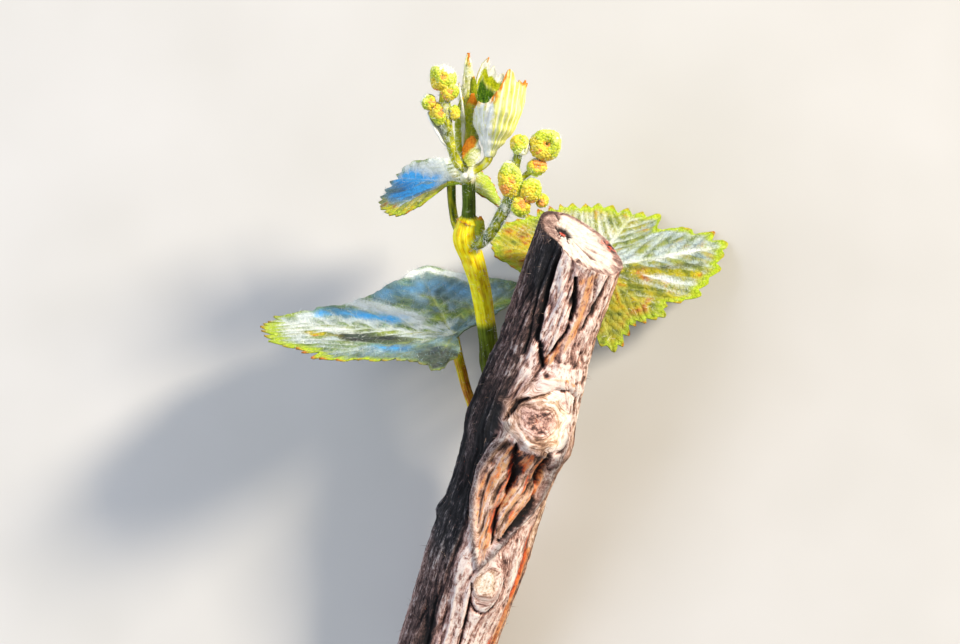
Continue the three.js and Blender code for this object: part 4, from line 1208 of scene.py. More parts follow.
# A young vine leaf is thin, soft and pleated: green where it shows, with pale veins, a lime rim with rusty
# tooth tips, golden flushes, and a cobweb of white down. Painted shade makes its green blue-green and its
# down blue-grey, blue patches are painted shade that the sky lights, and dark patches are painted shadow.
def vine_leaf(add):
    blush, lime, vein, tip, under, wool, streak, cool, sky, dark = (
        add("Attribute", attribute_name=mask).outputs["Fac"]
        for mask in ("blush", "lime", "vein", "tip", "under", "wool", "streak", "cool", "sky", "dark"))
    place = add("TexCoord").outputs["Object"]
    patch = add("TexNoise", {"Vector": place, "Scale": 1 / (3.2 * MM), "Detail": 3})
    grain = add("TexNoise", {"Vector": place, "Scale": 1 / (0.45 * MM), "Detail": 5, "Roughness": 0.65})
    patches = add("TexVoronoi", {"Vector": place, "Scale": 1 / (1.1 * MM)}, feature="DISTANCE_TO_EDGE")
    net = add("MapRange", {"Value": patches, "From Max": 0.12, "To Min": 0.25, "To Max": 0.0})
    colour = add("ValToRGB", {"Fac": patch}, [(0.32, "#2c4a32"), (0.5, "#55803a"), (0.68, "#92b32e")])
    golden = add("ValToRGB", {"Fac": patch}, [
        (0.34, "#67720a"), (0.45, "#a8a20e"), (0.54, "#c2ac12"), (0.62, "#b87510"), (0.74, "#7c3c0a")])
    limes = add("ValToRGB", {"Fac": grain}, [(0.3, "#74960c"), (0.5, "#a6c214"), (0.7, "#d2de3a")])
    shaded = add("ValToRGB", {"Fac": patch}, [(0.35, "#4f6a62"), (0.65, "#6f8f96")])
    # Dark patches of painted shadow
    painted_shadow = add("ValToRGB", {"Fac": patch}, [(0.35, "#12191a"), (0.65, "#36463c")])
    backs = add("ValToRGB", {"Fac": patch}, [(0.35, "#7f8a3c"), (0.65, "#c2b25a")])
    half_under = add("Math", {0: under, 1: 0.5}, operation="MULTIPLY")
    # Where shade is painted, the green turns blue-green and the felt blue-grey
    most_painted_shade = add("Math", {0: cool, 1: 0.85}, operation="MULTIPLY")
    muted = add("Math", {0: blush, 1: 0.6, 2: most_painted_shade}, operation="MULTIPLY_ADD")
    warm = add("Math", {0: 1.0, 1: muted}, operation="SUBTRACT", use_clamp=True)
    warm_net = add("Math", {0: net, 1: warm}, operation="MULTIPLY")
    warm_vein = add("Math", {0: vein, 1: warm}, operation="MULTIPLY")
    for cover, layer in ((most_painted_shade, shaded), (blush, golden), (lime, limes), (warm_net, "#ccd64c"),
                         (warm_vein, "#d6de7a"), (tip, "#c76a12"), (dark, painted_shadow), (half_under, backs)):
        colour = add("Mix", {0: cover, 6: colour, 7: layer}, data_type="RGBA")
    felt = add("Math", {0: grain, 1: 1.3, 2: wool}, operation="MULTIPLY_ADD")
    felt = add("MapRange", {"Value": felt, "From Min": 0.85, "From Max": 1.6, "To Max": 0.92})
    # The felt is white, and blue-grey where shade is painted on it
    sunny = add("Mix", {0: streak, 6: "#a6babc", 7: "#f6fcfd"}, data_type="RGBA")
    shady = add("Mix", {0: streak, 6: "#4a7690", 7: "#a5c4cf"}, data_type="RGBA")
    white = add("Mix", {0: cool, 6: sunny, 7: shady}, data_type="RGBA")
    colour = add("Mix", {0: felt, 6: colour, 7: white}, data_type="RGBA")
    # Blue patches painted as shade that the sky lights
    painted_sky_shade = add("Mix", {0: streak, 6: "#0a74c0", 7: "#50bcff"}, data_type="RGBA")
    colour = add("Mix", {0: sky, 6: colour, 7: painted_sky_shade}, data_type="RGBA")
    rough = add("MapRange", {"Value": felt, "To Min": 0.48, "To Max": 0.95})
    height = add("Math", {0: grain, 1: 0.2, 2: 0.0}, operation="MULTIPLY_ADD")
    height = add("Math", {0: net, 1: -0.5, 2: height}, operation="MULTIPLY_ADD")
    relief = add("Bump", {"Height": height, "Distance": MM})
    return {
        "Base Color": colour, "Roughness": rough, "Normal": relief, "Specular IOR Level": 0.25,
        "Sheen Weight": 0.05, "Sheen Roughness": 0.5}


# The leaves that still unfold are paler: cream-yellow pleats, lime folds, a dark green hollow, a rusty
# edge, and a thick white down. In the rolled leaf the dark green of the hollow is painted shade.
def unfolding_leaf(add):
    vein, lime, under, tip, wool, streak = (
        add("Attribute", attribute_name=mask).outputs["Fac"]
        for mask in ("vein", "lime", "under", "tip", "wool", "streak"))
    places = add("TexCoord")
    long_cells = add("Mapping", {"Vector": places.outputs["UV"], "Scale": (1, 1 / 9, 1)})
    pleats = add("TexNoise", {"Vector": long_cells, "Scale": 1 / 0.4, "Detail": 5, "Roughness": 0.6})
    grain = add("TexNoise", {
        "Vector": places.outputs["Object"], "Scale": 1 / (0.4 * MM), "Detail": 5, "Roughness": 0.65})
    colour = add("ValToRGB", {"Fac": pleats}, [(0.3, "#d6da58"), (0.5, "#ebe980"), (0.7, "#fbf8c4")])
    limes = add("ValToRGB", {"Fac": grain}, [(0.3, "#7c900a"), (0.5, "#b3bd14"), (0.7, "#e2de2e")])
    hollow = add("ValToRGB", {"Fac": grain}, [(0.3, "#16360a"), (0.5, "#3c660e"), (0.7, "#7e9820")])
    rusty = add("ValToRGB", {"Fac": grain}, [(0.3, "#c25a0e"), (0.7, "#f0a024")])
    for cover, layer in ((vein, "#fdfbd8"), (lime, limes), (under, hollow), (tip, rusty)):
        colour = add("Mix", {0: cover, 6: colour, 7: layer}, data_type="RGBA")
    felt = add("Math", {0: grain, 1: 1.3, 2: wool}, operation="MULTIPLY_ADD")
    felt = add("MapRange", {"Value": felt, "From Min": 0.95, "From Max": 1.5, "To Max": 0.92})
    white = add("Mix", {0: streak, 6: "#dde2de", 7: "#fffffb"}, data_type="RGBA")
    colour = add("Mix", {0: felt, 6: colour, 7: white}, data_type="RGBA")
    rough = add("MapRange", {"Value": felt, "To Min": 0.45, "To Max": 0.95})
    height = add("Math", {0: pleats, 1: 0.12, 2: 0.0}, operation="MULTIPLY_ADD")
    height = add("Math", {0: grain, 1: 0.14, 2: height}, operation="MULTIPLY_ADD")
    relief = add("Bump", {"Height": height, "Distance": MM})
    return {"Base Color": colour, "Roughness": rough, "Normal": relief, "Specular IOR Level": 0.25}


def leaf_pieces(settings):
    """The three open leaves, each with white down, and blue-grey down that is painted shade."""
    finish = finish_of("young vine leaf", vine_leaf)
    for leaf in LEAVES:
        points, faces, masks, flat = leaf_blade(leaf, settings.pucker)
        blade = new_piece(leaf["name"] + "_blade", points, faces, [finish], [leaf["name"]], masks,
                          flat)
        grow = np.clip(masks["wool"] ** 1.3 * (1 - 0.6 * masks["under"]) * (1 - masks["sky"]) + 0.02, 0, 1)
        for kind, share, down in (("white", 1 - masks["cool"], "white vine down"),
                                  ("sky", masks["cool"], "vine down in the shade")):
            down_on(blade, leaf["name"] + "_" + kind + "_down", grow * share, settings.hairs, 1.35, 0.5, 1.5,
                    leaf["seed"], down)


# Stems
NODE_LOW = (14.3, 14.4, 51.0)
NODE_SECOND = (11.8, 14.0, 66.8)
NODE_THIRD = (6.5, 12.0, 94.5)
NODE_FOURTH = (6.9, 11.0, 109.0)
SHOOT = [
    (15.2, 8.0, 45.5, 2.5), (15.0, 12.0, 47.4, 2.6), (*NODE_LOW, 2.7), (13.5, 14.9, 56.0, 2.0),
    (12.6, 14.7, 61.0, 2.0), (*NODE_SECOND, 2.5), (11.2, 13.4, 71.5, 2.0), (10.6, 13.0, 76.2, 2.0),
    (9.4, 12.5, 84.0, 2.15), (7.9, 12.1, 89.7, 2.4), (*NODE_THIRD, 2.8), (6.9, 12.0, 98.0, 2.3),
    (7.0, 11.8, 99.6, 1.6), (7.1, 11.5, 102.0, 1.5), (7.0, 11.2, 106.0, 1.5), (*NODE_FOURTH, 1.8),
    (6.8, 11.0, 110.8, 1.5),
]
# The shoot swells at its nodes, each over this reach along it
SWELLINGS = [(NODE_THIRD, 2.5), (NODE_SECOND, 2), (NODE_LOW, 2)]
COLLAR = 98.3
# Stalks of the leaves, and how golden, rusty, deep green and downy each is
PETIOLES = {
    "petiole_low_left": {
        "stations": [(*NODE_LOW, 1.3), (9.4, 14.0, 53.6, 1.1), (7.0, 12.9, 59.4, 1.05),
                     (5.1, 12.5, 66.5, 1.1), (*LOW_LEFT_LEAF["junction"], 1.25)],
        "gold": 0.6, "rust": 0.7, "deep": 0.0, "wool": 0.05,
    },
    "petiole_low_right": {
        "stations": [(*NODE_SECOND, 1.3), (17.4, 17.2, 70.4, 1.05), (24.0, 18.0, 76.4, 0.95),
                     (30.4, 17.6, 82.0, 0.95), (*LOW_RIGHT_LEAF["junction"], 1.1)],
        "gold": 0.5, "rust": 0.35, "deep": 0.1, "wool": 0.25,
    },
    "petiole_mid_left": {
        "stations": [(*NODE_THIRD, 1.2), (4.5, 14.0, 96.4, 0.95), (3.6, 15.0, 100.2, 0.85),
                     (*MID_LEFT_LEAF["junction"], 0.95)],
        "gold": 0.1, "rust": 0.15, "deep": 0.75, "wool": 0.1,
    },
    "petiole_top_right": {
        "stations": [(*NODE_FOURTH, 1.1), (8.8, 10.4, 109.9, 0.9), (10.3, 9.6, 111.0, 0.9),
                     (11.2, 9.1, 112.4, 0.9), (11.5, 9.0, 114.0, 0.5)],
        "gold": 0.3, "rust": 0.0, "deep": 0.1, "wool": 0.35,
    },
}


# Green rind is smooth, thin-skinned and a little waxy, ribbed along the shoot and tinted where it ripens.
# Its dark green layer is, on the shoot, painted shade.
def green_rind(add):
    gold, rust, deep, wool = (add("Attribute", attribute_name=mask).outputs["Fac"]
                              for mask in ("gold", "rust", "deep", "wool"))
    places = add("TexCoord")
    long_cells = add("Mapping", {"Vector": places.outputs["UV"], "Scale": (1, 1 / 14, 1)})
    stripes = add("TexNoise", {"Vector": long_cells, "Scale": 1 / 0.35, "Detail": 3})
    dapple = add("TexNoise", {"Vector": places.outputs["Object"], "Scale": 1 / (1.6 * MM), "Detail": 4})
    mixed = add("Math", {0: stripes, 1: 1.5, 2: dapple}, operation="MULTIPLY_ADD")
    mixed = add("MapRange", {"Value": mixed, "From Min": 0.7, "From Max": 1.7})
    colour = add("ValToRGB", {"Fac": mixed}, [
        (0.2, "#a3ad06"), (0.45, "#dcdc0e"), (0.62, "#f2ee1c"), (0.85, "#fbf75e")])
    golden = add("ValToRGB", {"Fac": mixed}, [(0.2, "#dca204"), (0.5, "#fbe208"), (0.8, "#fff840")])
    rusty = add("ValToRGB", {"Fac": mixed}, [(0.2, "#7c3c0c"), (0.5, "#b86a14"), (0.85, "#dda02c")])
    dark = add("ValToRGB", {"Fac": mixed}, [(0.2, "#143006"), (0.5, "#284a0a"), (0.85, "#4c6a14")])
    felt = add("Math", {0: dapple, 1: 1.6, 2: wool}, operation="MULTIPLY_ADD")
    felt = add("MapRange", {"Value": felt, "From Min": 1.1, "From Max": 1.8})
    for cover, layer in ((gold, golden), (rust, rusty), (deep, dark), (felt, "#ecece0")):
        colour = add("Mix", {0: cover, 6: colour, 7: layer}, data_type="RGBA")
    rough = add("MapRange", {"Value": felt, "To Min": 0.5, "To Max": 0.9})
    relief = add("Bump", {"Height": stripes, "Distance": 0.12 * MM})
    return {"Base Color": colour, "Roughness": rough, "Normal": relief, "Specular IOR Level": 0.2}


def rind():
    """The finish that the shoot, the stalks and the flower stems share."""
    return finish_of("green shoot rind", green_rind)


def stem_relief(limb, seed, ribs, depth):
    """How far a green stem stands out in ribs and bumps, and its roughness, -1 to 1."""
    length, turn = limb.places()
    wander = noise(cells(length / 8), seed)
    rough = layered(ring_cells(turn, 2, length / 3.5), 2, seed)
    return depth * np.cos(ribs * (turn + 0.25 * wander)) + 0.4 * depth * rough, rough


def shoot_piece(settings):
    """The main shoot, swollen at its joints, with a sharp collar under its upper part."""
    limb = Limb(SHOOT, 60, 330)
    relief, rough = stem_relief(limb, 5, 9, 0.075)
    length, turn = limb.places()
    height = np.broadcast_to(limb.centres[:, 2][:, None], length.shape)
    lip = fade(height - COLLAR - 0.35 * np.sin(turn * 2 + 0.6), 0.35)
    swell = sum(fade(height - node[2], reach) for node, reach in SWELLINGS)
    relief = relief * (1 + 0.8 * swell) + 0.28 * lip - 0.12 * ease(height, 98.7, 99.3)
    relief = np.where(height > 110, relief * 0.5, relief)
    looks = {
        # Gold: the band under the collar is the node's own colour; the band from 75 to 88 is painted
        # sunlight
        "gold": (0.35 + 0.35 * rough + 0.8 * stretch(height, 86, 90, 98.4, 99)
                 + 0.4 * stretch(height, 75, 77, 84, 88)),
        "rust": (0.9 * lip * ease(rough, -0.3, 0.3) + 0.45 * ease(rough, 0.25, 0.6)
                 + 0.6 * (1 - ease(height, 46, 52))),
        # Deep green painted as shade: under the leaves above the collar, and in the wood's shadow lower down
        "deep": 0.95 * stretch(height, 98.8, 99.6, 106.5, 108.5) + 0.9 * stretch(height, 52, 56, 74.5, 76.5),
        "wool": 0.8 * ease(height, 106, 108.5) + 0.3 * lip + 0.12 * rough,
    }
    points, faces = joined([limb.skin(relief), *[ball(place, size) for place, size in STIPULE_BALLS]])
    extra = len(points) - len(limb.flat())
    masks = {name: np.concatenate([with_ends(np.clip(values, 0, 1)), np.full(extra, name == "wool")])
             for name, values in looks.items()}
    flat = np.concatenate([limb.flat(), np.zeros((extra, 2))])
    shoot = new_piece("young_shoot_rind", points, faces, [rind()], ["young_shoot"], masks,
                      flat)
    grow = np.clip(masks["wool"] + 0.06, 0, 1)
    down_on(shoot, "young_shoot_down", grow, settings.hairs, 1.4, 0.4, 1.1, 41)


# Two small white stipules where the top leaves leave the shoot
STIPULE_BALLS = [((6.2, 9.0, 108.6), 0.62), ((7.5, 9.0, 108.5), 0.58)]


def ball(place, size):
    """Points and triangles of a small round ball."""
    return round_skin(place, (size, size, size * 1.15), 3)


def round_skin(place, size, finer, shape=None):
    """Points and triangles of a round body, its skin pushed out by a function of the direction."""
    made = bmesh.new()
    bmesh.ops.create_icosphere(made, subdivisions=finer, radius=1)
    ways = np.array([v.co for v in made.verts])
    faces = [tuple(v.index for v in face.verts) for face in made.faces]
    made.free()
    reach = 1 if shape is None else shape(ways)[:, None]
    return ways * reach * np.array(size) + np.array(place), faces


def petiole_pieces(settings):
    """The four leaf stalks with their down."""
    for number, (name, looks) in enumerate(PETIOLES.items()):
        limb = Limb(looks["stations"], 28, 90)
        relief, rough = stem_relief(limb, 11 + number, 5, 0.06)
        points, faces = limb.skin(relief)
        masks = {mask: with_ends(np.clip(looks[mask] * (1 + 0.9 * rough), 0, 1))
                 for mask in ("gold", "rust", "deep", "wool")}
        stalk = new_piece(name + "_rind", points, faces, [rind()], [name], masks, limb.flat())
        grow = np.clip(masks["wool"] + 0.05, 0, 1)
        down_on(stalk, name + "_down", grow, settings.hairs, 1.4, 0.3, 0.9, 51 + number)


# Old bud scales: overlapping brown scales with rusty wool between them, round the foot of the shoot
SCALE_RING = {"foot": (15.2, 9.6, 46.2), "top": (14.7, 14.0, 49.4), "radius": 3.9, "count": 7}
RING_STEPS, RING_COLUMNS = 20, 17


# Old bud scales are dead, papery and dark brown, with a paler ragged rim.
def dry_scale(add):
    wool = add("Attribute", attribute_name="wool").outputs["Fac"]
    flat = add("TexCoord").outputs["UV"]
    long_cells = add("Mapping", {"Vector": flat, "Scale": (1, 1 / 7, 1)})
    veins = add("TexNoise", {"Vector": long_cells, "Scale": 1 / 0.5, "Detail": 4})
    colour = add("ValToRGB", {"Fac": veins}, [(0.25, "#2c1a10"), (0.5, "#6b4227"), (0.75, "#a87846")])
    colour = add("Mix", {0: wool, 6: colour, 7: "#c79a62"}, data_type="RGBA")
    relief = add("Bump", {"Height": veins, "Distance": 0.12 * MM})
    return {"Base Color": colour, "Roughness": 0.85, "Normal": relief}


def bud_scale_piece(settings):
    """The ring of old bud scales, with short rusty wool between them."""
    foot, top = (np.array(SCALE_RING[end]) for end in ("foot", "top"))
    axis = unit(top - foot)
    right = unit(np.cross(axis, (1, 0, 0)))
    back = np.cross(axis, right)
    parts, wool, flats = [], [], []
    for number in range(SCALE_RING["count"]):
        turn = 2 * math.pi * number / SCALE_RING["count"]
        out = right * math.cos(turn) + back * math.sin(turn)
        far = 0.86 if number % 2 else 1.0
        start = foot + out * SCALE_RING["radius"] * far
        end = top + out * SCALE_RING["radius"] * 0.72 * far + axis * 0.5
        rows = scale_rows(start, end, -out, 4.3, 0.75, RING_STEPS, RING_COLUMNS)
        ragged = layered(rows / 0.9, 2, 60 + number)
        points, faces = sheet(rows, 0.34, 0.14 * ragged)
        parts.append((points, faces))
        share = np.linspace(0, 1, RING_STEPS)[:, None]
        wool.append(both_sides(np.broadcast_to(ease(share, 0.6, 1.0), ragged.shape), False))
        grid = np.meshgrid(np.linspace(-2, 2, RING_COLUMNS), np.linspace(0, 5, RING_STEPS))
        flats += [np.stack(grid, -1).reshape(-1, 2)] * 2
    points, faces = joined(parts)
    wool = np.concatenate(wool)
    finish = finish_of("dry bud scale", dry_scale)
    scales = new_piece("bud_scale_ring", points, faces, [finish], ["bud_scales"],
                       {"wool": wool}, np.concatenate(flats))
    down_on(scales, "bud_scale_wool", 0.2 + 0.8 * wool, 0.4 * settings.hairs, 1.3, 0.5, 1.3, 61)


# The rolled top right leaf: radii by height above its foot, and its margin's height by the angle round it,
# from its left side through the front. Its front left is low, so its dark hollow shows.
CUP = {
    "foot": (11.3, 9.0, 112.6), "axis": (0.15, 0, 1), "start": -175, "sweep": 345,
    "radii": [(0, 0.95), (1.5, 1.3), (4, 2.6), (7.5, 4.2), (11.5, 5.2), (16, 5.2), (22, 4.6)],
    "lobes": [(-175, 8.8), (-140, 12.2), (-116, 12.3), (-96, 15.6), (-76, 20.4), (-48, 17.8), (-14, 17.6),
              (28, 16), (63, 15.2), (95, 17.8), (118, 18.8), (138, 20.8), (156, 18.6), (170, 12)],
    "teeth": 14, "pleats": 20,
}


def cup_leaf_piece(settings):
    """The rolled leaf: a pleated, toothed cup that is open at the front, with its down."""
    axis = unit(CUP["axis"])
    right = unit(np.array((1.0, 0, 0)) - axis * axis[0])
    back = np.cross(axis, right)
    columns, count = CUP["teeth"] * 22, 80
    part = np.arange(columns + 1) / columns
    angle = CUP["start"] + CUP["sweep"] * part
    turn = np.radians(angle)
    tooth = part * CUP["teeth"]
    point = 1 - np.abs(2 * (tooth % 1) - 1)
    shares = np.linspace(0.02, 1, count)[:, None]
    chance = noise(cells(tooth), 79)
    notch = TOOTH_DEPTH * (0.7 + 0.6 * chance) * (1 - point ** 0.85) * shares ** 7
    margin = between(CUP["lobes"], angle)
    height = margin * shares * (1 - notch)
    front = np.broadcast_to(1 - ease(angle, -104, -84), height.shape)
    fan = part + 0.012 * np.sin(part * 19) + 0.05 * front * (1 - shares)
    pleat = np.cos(2 * np.pi * CUP["pleats"] * fan)
    fine = layered(cells(part * 60, height / 1.4), 2, 73)
    wavy = noise(cells(part * 9, height / 7), 75)
    lift = ease(height, 1.5, 6) * (0.17 * pleat + 0.1 * fine + 0.35 * wavy)
    radius = between(CUP["radii"], height)
    rows = (np.array(CUP["foot"]) + height[..., None] * axis + (radius * np.cos(turn))[..., None] * right
            + (radius * np.sin(turn))[..., None] * back)
    points, faces = sheet(rows, 0.3, lift)
    rim = margin * (1 - shares)
    tip = (1 - ease(rim, 0.1, 0.5 + 1.3 * point)) * (0.7 + 0.6 * chance)
    tip = tip * (1 - 0.75 * ease(angle, 50, 80))
    tip = np.maximum(tip, fade(angle - 138, 4) * (1 - ease(rim, 0.6, 1.6)))
    beside_hollow = 1 - ease(np.abs(angle + 89), 15, 21)
    tip = np.clip(np.maximum(tip, beside_hollow * (1 - ease(rim + 1.2 * fine, 0.6, 2.0))), 0, 1)
    inside = 1 - under_side(points)
    at_back = both_sides(np.broadcast_to(ease(angle, 70, 95), height.shape), False)
    near_rim = both_sides(1 - ease(rim, 1.6, 2.8), False)
    below_rim = both_sides(1 - ease(rim, 4.0, 5.6), False)
    wool = np.clip(front * (0.9 + 0.35 * fine) + 0.12 * pleat + 0.3 * (1 - ease(height, 2, 6)), 0, 1)
    wool = both_sides(wool * (1 - tip), False) * (1 - 0.8 * inside)
    masks = {
        "vein": both_sides(np.broadcast_to(ease(pleat, 0.3, 1.0), height.shape), False),
        "lime": np.clip(inside * at_back * below_rim
                        + 0.12 * (1 - inside) * both_sides(ease(-pleat, 0, 1), False), 0, 1),
        "tip": both_sides(tip, False),
        "wool": np.maximum(wool, inside * at_back * near_rim * 1.1 * (1 - both_sides(tip, False))),
        # Inside the cup all but the back wall near its rim is painted dark green as shade in the hollow
        "under": inside * (1 - at_back * below_rim),
        "streak": both_sides(np.clip(0.75 + 0.4 * fine, 0, 1), False),
    }
    flat = np.stack([part * 30 + height * 0, height], -1).reshape(-1, 2)
    finish = finish_of("unfolding vine leaf", unfolding_leaf)
    cup = new_piece("leaf_top_right_blade", points, faces, [finish], ["leaf_top_right"], masks,
                    np.concatenate([flat, flat]))
    grow = np.clip(masks["wool"], 0, 1) ** 1.3
    down_on(cup, "leaf_top_right_down", grow, 1.2 * settings.hairs, 1.35, 0.4, 1.1, 77)


# Flower clusters: stalk stations, side branches, and knots of buds as (place, size, flushed side, hollow).
# The buds of a knot ripen from white down to orange towards its flushed side.
CLUSTER_MID = {
    "name": "flower_cluster_mid",
    "stalk": [(7.5, 11.0, 93.0, 1.1), (9.8, 9.0, 94.2, 1.1), (11.9, 7.0, 97.0, 1.15),
              (13.8, 6.0, 100.6, 1.3), (15.6, 6.0, 104.4, 1.3), (16.2, 6.0, 109.0, 1.1),
              (17.4, 6.0, 114.0, 0.9)],
    "branches": [((16.0, 6.0, 107.0), (21.0, 6.0, 111.0)), ((20.6, 6.0, 110.6), (23.1, 6.0, 115.6)),
                 ((15.6, 6.0, 104.4), (20.0, 5.6, 106.0)), ((20.0, 5.6, 106.0), (22.3, 6.0, 104.2))],
    "knots": [((15.7, 5.6, 108.4), (2.6, 2.3, 4.3), (-0.6, -0.5, -0.7), 0.1),
              ((17.6, 6.0, 115.8), (1.9, 1.9, 2.1), (-0.7, 0, 0.5), 0.1),
              ((23.1, 6.0, 115.8), (3.3, 2.9, 3.3), (-0.8, -0.3, -0.5), 0.75),
              ((21.2, 6.0, 111.1), (2.1, 2.0, 1.8), (0.3, -0.4, 0.7), 0.3),
              ((20.0, 5.4, 106.2), (2.4, 2.2, 2.7), (-0.5, -0.5, -0.8), 0.1),
              ((17.9, 5.4, 102.9), (2.1, 1.9, 2.3), (0.2, -0.7, 0.6), 0.1),
              ((22.4, 6.0, 104.0), (1.2, 1.2, 1.4), (0, -1, 0), 0)],
    "deep": 0.75, "seed": 91,
}
CLUSTER_TOP = {
    "name": "flower_cluster_top",
    "stalk": [(6.6, 10.6, 109.3, 0.95), (4.8, 8.6, 111.4, 0.95), (3.6, 7.6, 114.6, 0.95),
              (2.7, 7.0, 118.4, 1.15), (2.2, 7.0, 122.0, 1.3), (2.0, 7.0, 129.0, 0.9)],
    "branches": [((2.3, 7.0, 122.0), (-1.3, 7.0, 124.6)), ((2.3, 7.0, 121.4), (4.2, 6.6, 123.2))],
    "knots": [((1.7, 7.0, 129.8), (2.7, 2.4, 2.7), (-0.5, -0.4, -0.8), 0.2),
              ((2.9, 6.6, 127.0), (2.0, 1.9, 1.8), (-0.5, -0.6, -0.4), 0.15),
              ((-1.3, 7.0, 124.7), (1.5, 1.5, 1.7), (0.8, -0.3, -0.6), 0.1),
              ((1.2, 6.8, 122.3), (2.3, 2.1, 2.5), (-0.7, -0.5, 0.6), 0.3),
              ((4.1, 6.6, 122.6), (1.1, 1.1, 1.5), (0.2, -0.9, 0), 0)],
    "deep": 0.6, "seed": 97,
}
BRANCH_RADIUS = 0.6
# The way that the hollow of a knot faces
KNOT_HOLLOW = (0.15, -1, 0.35)
BUD_SIZE = 0.36


# Unopened flower buds are smooth, waxy balls: white with down, yellow-green, golden or flushed orange.
def bud_skin(add, low, high):
    place = add("TexCoord").outputs["Object"]
    tone = add("TexNoise", {"Vector": place, "Scale": 1 / (0.5 * MM), "Detail": 3})
    colour = add("ValToRGB", {"Fac": tone}, [(0.35, low), (0.65, high)])
    relief = add("Bump", {"Height": tone, "Distance": 0.05 * MM})
    return {"Base Color": colour, "Roughness": 0.5, "Normal": relief, "Specular IOR Level": 0.35}


# Bud colours from white to orange, each up to a ripeness from 0 to 1. The last is painted shade for the
# hollows of the knots.
BUD_COLOURS = [
    ("white flower bud", "#dde2c0", "#fafbe8"), ("pale green flower bud", "#b2c23e", "#e6ec80"),
    ("lime flower bud", "#98aa16", "#d2da3e"), ("golden flower bud", "#ccb21c", "#eedc4c"),
    ("orange flower bud", "#d98a2a", "#f2b25c"), ("shaded flower bud", "#66720a", "#959a16"),
]
RIPENESS = [0.1, 0.3, 0.56, 0.8, 1.5]


def bud_item():
    """One flower bud, a unit across: a small egg with five shallow grooves."""
    points, faces = round_skin((0, 0, 0), (1.12, 1.12, 0.9), 2,
                               lambda ways: 1 + 0.07 * np.cos(5 * np.arctan2(ways[:, 1], ways[:, 0]))
                               * (1 - ways[:, 2] ** 2))
    return small_item("bud_item", points, faces, True)


def knot_shape(seed, hollow):
    """A lumpy round body with a hollow of this depth."""
    way = unit(KNOT_HOLLOW)

    def shape(ways):
        lumps = layered(ways * 1.5 + seed, 2, seed)
        return 0.9 + 0.17 * lumps - hollow * fade(1 - ways @ way, 0.11)
    return shape


def ripeness(points, cluster):
    """How far the buds at standing places have ripened, from 0, white, to 1, orange. In a knot's hollow it
    goes past 1, and the buds there get painted shade.
    """
    ripe = np.zeros(len(points))
    nearest = np.full(len(points), np.inf)
    for place, size, flushed, hollow in cluster["knots"]:
        off = (points - np.array(place)) / np.array(size)
        away = np.linalg.norm(off, axis=1)
        facing = off @ unit(flushed) / np.maximum(away, 0.2)
        # A knot's hollow, where its buds are painted dark as shade
        sunk = hollow * ease(off @ unit(KNOT_HOLLOW) / np.maximum(away, 0.2), 0.88, 0.94)
        here = 0.46 + 0.46 * facing + 2.2 * sunk
        ripe = np.where(away < nearest, here, ripe)
        nearest = np.minimum(nearest, away)
    return ripe - 0.03 + 0.2 * layered(points / 3, 2, cluster["seed"])


def cluster_piece(cluster, settings):
    """A flower cluster: its stalk, branches and knots with their down, and the buds that sit on them."""
    stalk = Limb(cluster["stalk"], 24, 120)
    relief, _ = stem_relief(stalk, cluster["seed"], 5, 0.07)
    parts = [stalk.skin(relief)]
    for start, end in cluster["branches"]:
        branch = Limb([(*start, BRANCH_RADIUS), (*end, BRANCH_RADIUS)], 16, 24)
        parts.append(branch.skin(stem_relief(branch, 3, 5, 0.04)[0]))
    stems = sum(len(points) for points, _ in parts)
    for number, (place, size, _, hollow) in enumerate(cluster["knots"]):
        parts.append(round_skin(place, size, 4, knot_shape(cluster["seed"] + number, hollow)))
    points, faces = joined(parts)
    on_stem = np.arange(len(points)) < stems
    dapple = noise(points / 1.3, cluster["seed"])
    ripe = ripeness(points, cluster)
    masks = {
        "gold": np.where(on_stem, 0.1, ease(ripe, 0.4, 0.7)),
        "rust": np.where(on_stem, 0.0, 0.6 * ease(ripe, 0.75, 0.95)),
        "deep": np.where(on_stem, cluster["deep"] * (1 + 0.6 * dapple), 0.2),
        "wool": np.where(on_stem, 0.1 + 0.5 * dapple, 0.6 * (1 - ease(ripe, 0.1, 0.4))),
    }
    masks = {mask: np.clip(values, 0, 1) for mask, values in masks.items()}
    body = new_piece(cluster["name"] + "_stems", points, faces, [rind()], [cluster["name"]],
                     masks, points[:, [0, 2]])
    grow = np.where(on_stem, 0.6 + 0.4 * dapple, 0.75 - 0.5 * np.clip(ripe, 0, 1))
    down_on(body, cluster["name"] + "_down", grow, settings.hairs, 1.2, 0.6, 1.5, cluster["seed"])

    item = bpy.data.objects.get("bud_item") or bud_item()
    kinds = [finish_of(name, bud_skin, low, high) for name, low, high in BUD_COLOURS]
    mesh = scattered(body, np.where(on_stem, 0.0, 1.0), item, True, {
        "Material": kinds[0], "Per square millimetre": 60.0, "Spacing": 1.15 * BUD_SIZE * MM, "Lean": 0.15,
        "Smallest": 0.9 * BUD_SIZE, "Largest": 1.2 * BUD_SIZE, "Seed": cluster["seed"],
    })
    mesh.name = cluster["name"] + "_buds"
    faces_each = len(item.data.polygons)
    buds = len(mesh.polygons) // faces_each
    corners = np.zeros(len(mesh.vertices) * 3)
    mesh.vertices.foreach_get("co", corners)
    middles = standing(corners.reshape(buds, -1, 3).mean(1))
    chance = np.random.default_rng(cluster["seed"]).normal(0, 0.02, buds)
    kind = np.digitize(ripeness(middles, cluster) + chance, RIPENESS)
    mesh.materials.clear()
    for material in kinds:
        mesh.materials.append(material)
    mesh.polygons.foreach_set("material_index", np.repeat(kind, faces_each).astype(np.int32))
    finished(mesh.name, mesh)


